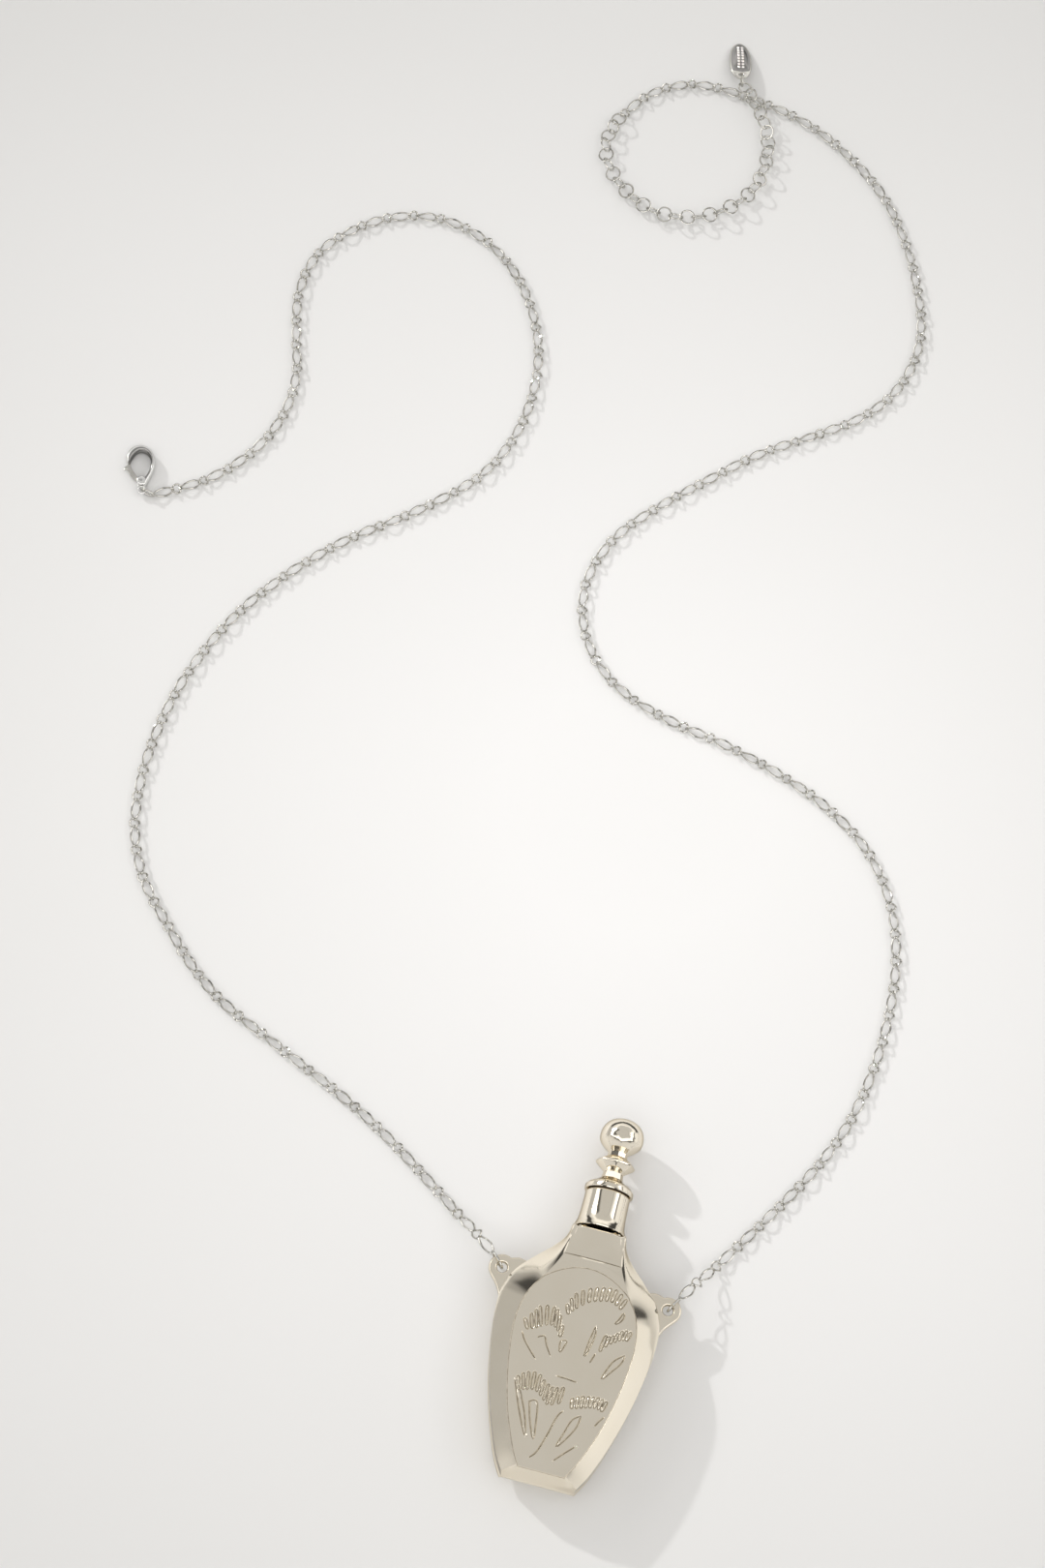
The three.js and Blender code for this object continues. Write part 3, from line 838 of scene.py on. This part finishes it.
def face_rim(rail, row):
    """The face's edge: up the right side, over the arch, down the left and along the foot."""
    side = rail[: SHOULDER * STEPS + 1]
    left = mirrored(side)
    foot = [left[0] + (side[0] - left[0]) * share for share in FOOT_SHARES[1:-1]]
    return [*side, *reversed([np.array(p) for p in row[1:-1]]), *left[::-1], *foot]


def inset(rim, width, depth):
    """The rim drawn in by a width, at a depth below the face."""
    inner = []
    for index, point in enumerate(rim):
        along = unit((rim[(index + 1) % len(rim)] - rim[index - 1])[:2])
        inward = np.array([-along[1], along[0]])
        inner.append(np.array([*(point[:2] + inward * width), THICKNESS - depth]))
    return inner


def foot_rows(bevel):
    """The flat facet at the foot, between the first rows of the two sides."""
    right, left = bevel[0], mirrored(bevel[0])
    return [[a + (b - a) * share for share in FOOT_SHARES] for a, b in zip(left, right)]


def half_bottle(engraved):
    """One half of the bottle's skin, facing up."""
    body = Body()
    seam, rail = stations()
    low_rail = rail - [0, 0, RIM_DROP]
    bevel = bevel_rows(seam, low_rail)
    body.grid(bevel)
    body.grid(mirrored(bevel))
    body.grid(foot_rows(bevel))
    hood, lip = hood_rows(low_rail)
    body.grid(hood[: lip + 1])
    # The fine groove above the lip takes the painted shade.
    body.grid(hood[lip : lip + 2], kind=SHADED_CORE)
    body.grid(hood[lip + 1 :])
    rim = face_rim(low_rail, hood[0])
    groove = inset(rim, LINE, LINE)
    inner = inset(rim, 2 * LINE, 0)
    loop = [*range(len(rim)), 0]
    # The fine line round the face takes the painted shade.
    body.grid([[rim[i] for i in loop], [groove[i] for i in loop]], kind=SHADED_CORE)
    body.grid([[groove[i] for i in loop], [inner[i] for i in loop]])
    face_patch(body, inner, engraved)
    return body


def add_bottle():
    """Both halves of the bottle, with walls of real thickness."""
    for name, engraved in (("bottle_front_shell", True), ("bottle_back_shell", False)):
        body = half_bottle(engraved)
        # The fourth material is painted shade in the cores of the engraved lines and fine grooves.
        skin = [GOLD, SHADED_INSIDE, FACE_GOLD, GROOVE_PAINTED_SHADE]
        piece = mesh_piece(f"{name}_skin", body, skin, sharp=13, faces_up=True)
        solidify = piece.modifiers.new("wall", "SOLIDIFY")
        solidify.thickness = WALL * MM
        solidify.offset = -1
        # The wall's inner side takes the second material, the near-black painted shade.
        solidify.material_offset = 1
        solidify.material_offset_rim = 0
        apply_modifiers(piece)
        if not engraved:
            turn_over(piece)
        stands_for(piece, "pendant", name)


def turn_over(piece):
    """Mirrors a piece through the bottle's mid-plane."""
    with edited(piece.data) as shape:
        for vertex in shape.verts:
            vertex.co.z = 2 * MID * MM - vertex.co.z
        bmesh.ops.reverse_faces(shape, faces=shape.faces)


# ---- plates cut from an outline ----


def outline_plate(name, outline, holes, low, high, rounding, material):
    """A flat plate with rounded edges from a closed outline and round holes."""
    curve = bpy.data.curves.new(name, "CURVE")
    curve.dimensions = "2D"
    curve.fill_mode = "BOTH"
    curve.extrude = ((high - low) / 2 - rounding) * MM
    curve.bevel_depth = rounding * MM
    curve.bevel_resolution = 4
    curve.offset = -rounding * MM
    loops = [outline]
    for x, y, radius in holes:
        turn = np.linspace(0, 2 * math.pi, 36, endpoint=False)
        loops.append([(x + radius * math.cos(t), y + radius * math.sin(t)) for t in turn])
    for loop in loops:
        spline = curve.splines.new("POLY")
        spline.points.add(len(loop) - 1)
        for point, (x, y) in zip(spline.points, loop):
            point.co = (x * MM, y * MM, 0, 1)
        spline.use_cyclic_u = True
    shape = shown(name, curve)
    shape.location.z = (low + high) / 2 * MM
    bpy.context.view_layer.update()
    graph = bpy.context.evaluated_depsgraph_get()
    mesh = bpy.data.meshes.new_from_object(shape.evaluated_get(graph))
    mesh.transform(shape.matrix_world)
    bpy.data.objects.remove(shape)
    mesh.materials.clear()
    mesh.materials.append(material)
    with edited(mesh) as cleaner:
        tidy_up(cleaner)
    mesh.shade_smooth()
    mesh.set_sharp_from_angle(angle=math.radians(40))
    return shown(name, mesh)


LUG = {"x": 18.1, "y": 43.3, "radius": 2.9, "hole": 1.1, "thickness": 1.4}


def add_lug(side, name):
    """A rounded eyelet on the shoulder, with a round hole whose edges are rounded."""
    x, y = side * LUG["x"], FOOT + LUG["y"]
    radius = LUG["radius"]
    turn = np.radians(np.linspace(118, -42, 22))
    arc = [(LUG["x"] + radius * math.cos(t), y + radius * math.sin(t)) for t in turn]
    lower = smooth_line([arc[-1], (18.3, y - 4.3), (17.2, y - 6.6), (16.6, y - 7.2)], 5)
    root = [(14.6, y - 3.4), (13.4, y + 1.6)]
    upper = smooth_line([(13.2, y + 2.7), (15.0, y + 3.0), arc[0]], 4)
    outline = [*arc, *map(tuple, lower[1:]), *root, *map(tuple, upper[:-1])]
    outline = [(side * px, py) for px, py in outline]
    half = LUG["thickness"] / 2
    piece = outline_plate(f"{name}_plate", outline, [(x, y, LUG["hole"])],
                          MID - half, MID + half, 0.5, GOLD)
    stands_for(piece, "pendant", name)


# ---- the stopper ----

AXIS = (0, 1, 0)


def turned_piece(name, node, materials, parts, body_name="stopper", steps=96):
    """A piece turned about the bottle's axis. A part is (profile, facets, kind)."""
    body = Body()
    for profile, facets, kind in parts:
        body.lathe(profile, np.array([0, FOOT, MID]), AXIS, UP, steps, facets, kind)
    stands_for(mesh_piece(name, body, materials, sharp=28), body_name, node)


def add_stopper():
    """Bell collar, finial, plug and seal, and the tube in the neck that they close.

    A profile's points are a radius and a height above the bottle's foot.
    """
    outer = smooth_line([(5.8, 56.2), (5.55, 56.8), (5.22, 57.8), (5.03, 59.2), (4.93, 61),
                         (4.88, 62.8), (4.88, 64.3)], 6)
    bell = [(5.2, 56.05), (5.7, 56.05), *outer, (4.73, 64.55), (0, 64.6)]
    hollow = [(5.2, 56.05), (4.7, 57.6), (4.35, 59.6), (4.1, 63.2), (3.9, 63.6), (0, 63.6)]
    # The bell's hollow takes the near-black painted shade.
    turned_piece("stopper_collar_bell", "stopper_collar", [GOLD, SHADED_INSIDE],
                 [(bell, None, 0), (hollow, None, 1)])

    cone = smooth_line([(5.25, 65.9), (4.6, 66.6), (3.4, 67.35), (2.6, 68.0)], 6)
    knob = smooth_line([(3.3, 75.0), (4.35, 76.2), (4.72, 77.6), (4.4, 79.5),
                        (3.3, 81.0), (1.65, 81.8), (0, 82.0)], 8)
    seat = [(0, 64.62), (4.5, 64.62), (4.5, 64.86)]
    head = [(4.5, 64.86), (5.14, 64.9), (5.3, 65.1), (5.31, 65.5), *cone]
    lower_waist = [(2.35, 68.25), (2.15, 69.6), (2.3, 69.8)]
    ring = [(4.16, 71.2), (4.3, 71.45), (4.3, 71.65), (4.16, 71.9), (2.35, 73.1)]
    upper_waist = [(2.15, 73.25), (2.15, 74.2), (2.3, 74.35)]
    profile = [*head, *lower_waist, *ring, *upper_waist, *knob]
    facets = [0] * len(head) + [1] * 2 + [0.8] + [0.7] * 4 + [1] * 3 + [0.8]
    facets += [0.7 * max(0, 1 - i / 10) for i in range(len(knob))]
    # The finial's seat, underneath it, takes the near-black painted shade.
    turned_piece("stopper_finial_turning", "stopper_finial", [GOLD, SHADED_INSIDE],
                 [(seat, None, 1), (profile, facets, 0)])

    plug = [(0, 57.2), (1.5, 57.2), (1.7, 57.4), (1.7, 63.1), (1.5, 63.3), (0, 63.3)]
    turned_piece("stopper_plug_pin", "stopper_plug", [GOLD], [(plug, None, 0)], steps=48)
    seal = [(1.95, 58), (2.4, 58), (2.5, 58.15), (2.5, 58.8), (2.38, 59.25), (2.5, 59.7),
            (2.5, 60.35), (2.4, 60.5), (1.95, 60.5), (1.95, 58)]
    turned_piece("stopper_seal_sleeve", "stopper_seal", [SEAL], [(seal, None, 0)],
                 steps=48)
    tube = [(2.7, 47.5), (3.4, 47.5), (3.4, 60.9), (3.5, 61.0), (3.5, 61.35), (3.35, 61.5),
            (2.8, 61.5)]
    bore = [(2.8, 61.5), (2.7, 61.4), (2.7, 47.5)]
    # The tube's bore takes the near-black painted shade.
    turned_piece("bottle_neck_tube_turning", "bottle_neck_tube", [GOLD, SHADED_INSIDE],
                 [(tube, None, 0), (bore, None, 1)], body_name="pendant", steps=72)


def add_neck_end():
    """The wall that closes the neck round its tube."""
    corners = [(5.5, 1.6), (4.45, 3.7)]
    right = [(x, -z) for x, z in reversed(corners)] + corners
    outline = right + [(-x, z) for x, z in reversed(right)]
    wall = outline_plate("bottle_neck_end", outline, [(0, 0, 3.3)], -0.3, 0.3, 0.1, GOLD)
    place = Matrix.Translation(Vector((0, FOOT + 55.0, MID)) * MM)
    wall.data.transform(place @ Matrix.Rotation(math.pi / 2, 4, "X"))
    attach(wall, "pendant")


# ---- the clasp ----

CLASP_TURN = math.radians(17)
CLASP_THICKNESS = 2.4
LEVER_PIVOT = (-0.1, 2.0)
CLASP_EYE = 0.86  # radius of the eye's middle line
CLASP_EYE_WIRE = 0.29
LEVER_HALF = 0.43  # half the lever's thickness
# The hook's middle line from its root over the top to its nose, with half its width.
CLASP_HOOK = [
    (0.55, 1.3, 0.62), (1.15, 2.5, 0.6), (1.95, 3.9, 0.55), (2.58, 5.65, 0.5), (2.72, 7.6, 0.5),
    (2.15, 9.35, 0.62), (0.85, 10.45, 0.76), (-0.55, 10.55, 0.88), (-1.8, 9.85, 0.95),
    (-2.62, 8.6, 0.86), (-2.88, 7.5, 0.6),
]
LEVER = [
    (-0.5, 1.45), (0.05, 1.6), (0.2, 2.15), (-0.6, 2.75), (-1.3, 3.6), (-2.2, 5.5), (-2.55, 6.6),
    (-3.05, 6.4), (-3.85, 5.75), (-3.95, 5.2), (-3.2, 5.2), (-2.5, 3.9), (-1.5, 2.5),
]


def clasp_frame():
    """The clasp's own frame in the row frame, in metres: its eye at the origin, tip along +Y."""
    pivot = joint_place("clasp_lever_open")
    turn = Matrix.Rotation(CLASP_TURN, 4, "Z")
    offset = turn @ Vector((*LEVER_PIVOT, 0))
    eye = Vector((pivot[0] - offset.x, pivot[1] - offset.y, 0)) * MM
    return Matrix.Translation(eye) @ turn


BAR_POWER = 0.92  # a bar's section: 1 is an ellipse, and less is squarer
DOME_SHARES = (0.35, 0.65, 0.87, 0.97, 1.0)  # where the rings of a bar's domed end are


def swept_bar(body, line, half_widths, half_height, height, steps=20):
    """A rounded bar along a flat line, its ends domed. Its left side is of the second material."""
    line = np.array([[x, y, height] for x, y in line])
    tangent = directions(line, closed=False)
    aside = np.cross(UP, tangent)
    turn = np.linspace(0, 2 * math.pi, steps, endpoint=False)
    out = squarer(np.cos(turn), BAR_POWER)
    lift = squarer(np.sin(turn), BAR_POWER)
    rows = []
    for place, direction, half in zip(line, aside, half_widths):
        rows.append(place + (half * out)[:, None] * direction + (half_height * lift)[:, None] * UP)
    for end, sign in ((0, -1), (-1, 1)):
        base, place, half = rows[end], line[end], half_widths[end]
        dome = []
        for share in DOME_SHARES:
            shrink = math.sqrt(1 - share * share)
            dome.append(place + (base - place) * shrink + tangent[end] * sign * half * share)
        rows = [*dome[::-1], *rows] if end == 0 else [*rows, *dome]
    quarter = steps // 4
    for kind, turned in ((1, quarter), (0, -quarter)):
        body.grid([np.roll(row, turned, axis=0)[: 2 * quarter + 1] for row in rows], kind=kind)


def add_clasp():
    """A lobster clasp: hook with cheeks and an eye, spring lever, pin and spring."""
    place = clasp_frame()
    middle = CLASP_THICKNESS / 2
    pivot = np.array([*LEVER_PIVOT, 0.0])

    def set_in(piece, body_name, node):
        piece.data.transform(place)
        stands_for(piece, body_name, node)

    line = smooth_line(CLASP_HOOK, 6)
    body = Body()
    swept_bar(body, line[:, :2], line[:, 2], middle * 0.98, middle)
    for low, high in ((0.02, 0.62), (1.78, 2.38)):
        cheek = [(0, low), (0.85, low), (1.08, low + 0.14), (1.15, (low + high) / 2),
                 (1.08, high - 0.14), (0.85, high), (0, high)]
        body.lathe(cheek, pivot + [0.1, 0, 0], UP, (1, 0, 0), steps=40)
    around = np.linspace(0, 2 * math.pi, 32, endpoint=False)
    loop = np.array([(CLASP_EYE * math.cos(a), CLASP_EYE * math.sin(a), middle) for a in around])
    eye = np.array([0, 0, middle])
    add_wire(body, loop, eye, CLASP_EYE_WIRE, closed=True, sides=14, flat=1.25)
    # The hook's inner side is of the dark silver: painted shade inside the hook.
    casting = mesh_piece("clasp_body_casting", body, [WHITE_SILVER, DARK_SILVER_AND_SHADE], sharp=45)
    set_in(casting, "clasp", "clasp_body")

    outline = [tuple(p) for p in smooth_line([*LEVER, LEVER[0]], 4)[:-1]]
    lever = outline_plate("clasp_lever_blade", outline, [(*LEVER_PIVOT, 0.34)],
                          middle - LEVER_HALF, middle + LEVER_HALF, 0.2, SILVER)
    set_in(lever, "clasp_lever", "clasp_lever")

    pin = [(0, 0.0), (0.3, 0.0), (0.36, 0.06), (0.27, 0.14), (0.27, 2.26), (0.36, 2.34),
           (0.3, 2.4), (0.15, 2.44), (0, 2.45)]
    body = Body()
    body.lathe(pin, pivot, UP, (1, 0, 0), steps=24)
    set_in(mesh_piece("clasp_pin_rivet", body, [STEEL]), "clasp", "clasp_pin")

    body = Body()
    leaf = smooth_line([(0.74, 1.25), (0.8, 1.7), (0.82, 2.2), (0.72, 2.65)], 5)
    swept_bar(body, leaf, [0.055] * len(leaf), 0.3, middle, steps=12)
    set_in(mesh_piece("clasp_spring_leaf", body, [STEEL, STEEL]), "clasp", "clasp_spring")


# ---- the charm ----

CHARM = {"length": 12.2, "width": 5.6, "hole": 0.6, "height": 2.9}
CHARM_TURN = math.radians(13)
CHARM_TILT = math.radians(-12.5)
CHARM_ROOT = -1.3  # where the tag begins, from its hole
CHARM_EYE = {"at": 0.09, "reach": 0.1, "half_width": 0.95}  # at and reach as shares of the length
BEAD = 0.43
BEAD_ROW = (2.4, 9.1)  # where a row of beads begins and ends, from the hole
# The dome's rings from its rim to its top: how wide each is, and how high.
DOME = [
    (1, 0.05), (0.97, 0.16), (0.92, 0.2), (0.87, 0.16), (0.84, 0.14),
    (0.7, 0.3), (0.5, 0.42), (0.3, 0.49), (0.12, 0.52), (0, 0.52),
]


def charm_half_width(share):
    """Half the tag's width at a share of its length from its root: an oval, with a round eye."""
    oval = max(0.0, 1 - abs(2 * share - 1) ** 2.4) ** 0.5
    eye = math.sqrt(max(0.0, 1 - ((share - CHARM_EYE["at"]) / CHARM_EYE["reach"]) ** 2))
    narrowing = 1.04 - 0.14 * share
    return max(CHARM["width"] / 2 * oval * narrowing, CHARM_EYE["half_width"] * eye)


def charm_outline(shrink=0.0):
    """The tag's outline, drawn in by shrink."""
    length = CHARM["length"]
    middle = CHARM_ROOT + length * 0.55
    scale_x = 1 - shrink / (CHARM["width"] / 2)
    scale_y = 1 - shrink / (length / 2)
    right = []
    for share in (1 - np.cos(np.linspace(0, math.pi, 25))) / 2:
        y = CHARM_ROOT + share * length
        right.append((charm_half_width(share) * scale_x, middle + (y - middle) * scale_y))
    return right + [(-x, y) for x, y in reversed(right[1:-1])]


def add_beads(body):
    """Two rows of half-round beads on the dome."""
    bead = [(BEAD * math.sin(t), BEAD * math.cos(t)) for t in np.linspace(0, math.pi / 2, 7)]
    middle = sum(BEAD_ROW) / 2
    for x in (-0.5, 0.5):
        for y in np.linspace(*BEAD_ROW, 8):
            seat = np.array([x, y, 0.42 - 0.02 * (y - middle) ** 2])
            body.lathe([*bead, (BEAD, -0.15)], seat, UP, (1, 0, 0), steps=16, kind=1)


def add_charm():
    """A domed oval tag with a raised rim and two rows of beads."""
    turn = Matrix.Rotation(CHARM_TURN, 4, "Z") @ Matrix.Rotation(CHARM_TILT, 4, "X")
    place = Matrix.Translation(Vector(joint_place("charm_swing")) * MM) @ turn
    plate = outline_plate("charm_tag_plate", charm_outline(), [(0, 0, CHARM["hole"])],
                          -0.45, 0.1, 0.2, SILVER)
    plate.data.transform(place)
    body = Body()
    outline = [np.array([x, max(y, 0.85 + 0.2 * abs(x))]) for x, y in charm_outline(0.3)]
    centre = np.array([0, CHARM_ROOT + CHARM["length"] * 0.56])
    rows = [[(*(centre + (p - centre) * scale), height) for p in outline] for scale, height in DOME]
    body.grid(rows, wrap_columns=True)
    body.add(rows[0], [tuple(range(len(outline)))])
    add_beads(body)
    dome = mesh_piece("charm_tag_dome", body, [DARK_SILVER_AND_SHADE, WHITE_SILVER], sharp=50)
    dome.data.transform(place)
    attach(dome, "charm")
    stands_for(plate, "charm", "charm_tag")


# ---- the rings that join the parts ----


def add_rings():
    """The jump rings at the lugs, the clasp and the charm. A size is length, height and wire."""
    left = joint_place("left_lug_ring_swing")
    right = joint_place("right_lug_ring_swing")
    eye = clasp_frame().translation / MM
    hole = joint_place("charm_swing")
    for name, at, height, towards, size in (
        ("left_lug_ring", left, MID, LEFT_ROUTE[0], (4.6, 3.0, 0.27)),
        ("right_lug_ring", right, MID, RIGHT_ROUTE[0], (4.6, 3.0, 0.27)),
        ("clasp_ring", eye, CLASP_THICKNESS / 2, LEFT_ROUTE[-1], (3.6, 2.4, 0.24)),
        ("charm_ring", hole, CHARM["height"], EXTENDER_ROUTE[-1], (3.6, 3.0, 0.24)),
    ):
        add_jump_ring(name, (at[0], at[1], height), towards, size)


# ---- floor and light ----


def add_floor():
    """A plain warm-white table top, with painted shade that makes it a little darker away from the
    middle of the view.
    """
    surface = Surface("table_top")
    tint = surface.spread(surface.noise(160, detail=2), 0, 1)
    white = surface.colours(tint, (0.885, 0.88, 0.88), (0.865, 0.86, 0.855))
    middle = Vector((-15, 115, 0)) * MM
    away = surface.add("VectorMath", {1: middle}, {0: surface.place}, operation="DISTANCE")
    # Painted shade: the table darkens away from the middle of the view.
    edge = surface.spread(away.outputs["Value"], 0, 1, middle=0.2, width=0.17)
    shade = surface.colours(edge, (1, 1, 1), (0.6, 0.6, 0.59))
    shaded = surface.add("Mix", {"Factor": 1}, {6: white, 7: shade}, data_type="RGBA",
                         blend_type="MULTIPLY")
    surface.put("Base Color", shaded.outputs[2])
    surface.shader.inputs["Roughness"].default_value = 0.75
    size = 3.0
    level = -0.02 * MM
    corners = [(-size, -size, level), (size, -size, level), (size, size, level), (-size, size, level)]
    mesh = bpy.data.meshes.new("table_top")
    mesh.from_pydata(corners, [], [(0, 1, 2, 3)])
    mesh.materials.append(surface.material)
    shown("table_top", mesh)


SWAY = 0.36  # how far noise moves the edges in the room
ROOM_STRENGTH = 3.0
# Brightness by height in each direction, from 0 at the horizon to 1 overhead.
RIGHT = [(0.0, 0.9), (0.34, 0.95), (0.4, 0.3), (0.5, 0.3), (0.56, 1.9), (0.72, 1.9), (0.8, 0.5),
         (0.92, 0.58)]
LEFT = [(0.0, 0.5), (0.38, 0.5), (0.46, 2.3), (0.58, 2.3), (0.64, 0.12), (0.76, 0.14), (0.84, 0.58)]
BEHIND = [(0.0, 0.8), (0.34, 0.7), (0.4, 0.15), (0.5, 0.15), (0.57, 1.7), (0.82, 1.5), (0.94, 0.58)]
BEYOND = [(0.0, 0.4), (0.05, 0.06), (0.24, 0.08), (0.32, 0.7), (0.5, 1.1), (0.62, 0.6), (0.8, 0.58)]


class Room(Nodes):
    """The world's nodes: brightness by direction, with wavy edges."""

    def __init__(self, name):
        world = bpy.data.worlds.new(name)
        bpy.context.scene.world = world
        super().__init__(world)
        direction = self.add("TexCoord", {}, {}).outputs["Generated"]
        waves = self.add("TexNoise", {"Scale": 2.6, "Detail": 1.0}, {"Vector": direction})
        links = {0: waves.outputs["Color"], 2: direction}
        swayed = self.add("VectorMath", {1: (SWAY, SWAY, SWAY)}, links, operation="MULTIPLY_ADD")
        self.part = self.add("SeparateXYZ", {}, {"Vector": swayed.outputs["Vector"]}).outputs

    def by_height(self, stops):
        ramp = self.add("ValToRGB", {}, {})
        height = self.add("Math", {1: SWAY / 2}, {0: self.part["Z"]}, operation="SUBTRACT")
        self.link(height.outputs["Value"], ramp.inputs["Fac"])
        ramp.color_ramp.interpolation = "EASE"
        elements = ramp.color_ramp.elements
        while len(elements) < len(stops):
            elements.new(0.5)
        for element, (height, value) in zip(elements, stops):
            value /= ROOM_STRENGTH
            element.position = height
            element.color = (value, value * 0.985, value * 0.96, 1)
        return ramp.outputs["Color"]

    def blended(self, axis, start, end, first, second):
        """The first sky where the direction's part along an axis is start, the second at end."""
        values = {"From Min": start + SWAY / 2, "From Max": end + SWAY / 2}
        mask = self.add("MapRange", values, {"Value": self.part[axis]},
                        interpolation_type="SMOOTHSTEP")
        links = {"Factor": mask.outputs["Result"], 6: first, 7: second}
        return self.add("Mix", {}, links, data_type="RGBA").outputs[2]


def add_world():
    """A soft room, grey overhead and bright behind the camera.

    A window low on the left has a dark wall above it, and beyond the table the room is dark.
    """
    room = Room("room")
    right, left, behind, beyond = [room.by_height(stops) for stops in (RIGHT, LEFT, BEHIND, BEYOND)]
    sky = room.blended("X", 0.1, -0.2, right, left)
    sky = room.blended("Y", -0.1, -0.4, sky, behind)
    sky = room.blended("Y", 0.46, 0.58, sky, beyond)
    background = room.tree.nodes["Background"]
    room.link(sky, background.inputs["Color"])
    background.inputs["Strength"].default_value = ROOM_STRENGTH


def add_lamp(name, kind, place, target, energy, size):
    """A lamp at a place, in millimetres, pointing at a target."""
    data = bpy.data.lights.new(name, kind)
    data.energy = energy
    if kind == "SUN":
        data.angle = math.radians(size)
    else:
        data.shape = "RECTANGLE"
        data.size, data.size_y = size[0] * MM, size[1] * MM
    lamp = bpy.data.objects.new(name, data)
    place, target = Vector(place) * MM, Vector(target) * MM
    lamp.location = place
    lamp.rotation_euler = (target - place).to_track_quat("-Z", "Y").to_euler()
    bpy.context.scene.collection.objects.link(lamp)
    return lamp


def add_lights():
    """A low sun from the left, and a broad light overhead that polished metal does not show."""
    add_lamp("window_sun", "SUN", (-880, 475, 490), (0, 0, 0), 1.05, 1.6)
    overhead = add_lamp("overhead", "AREA", (-100, 0, 1500), (-40, 110, 0), 3.5, (1800, 1800))
    overhead.visible_glossy = False


bpy.context.scene.view_settings.view_transform = "Standard"
chance = random.Random(7)
add_camera()
add_chain_side("left", LEFT_ROUTE, True, chance)
add_chain_side("right", RIGHT_ROUTE, False, chance)
add_extender(chance)
add_rings()
add_bottle()
add_lug(-1, "left_lug")
add_lug(1, "right_lug")
add_stopper()
add_neck_end()
add_clasp()
add_charm()
add_floor()
add_world()
add_lights()
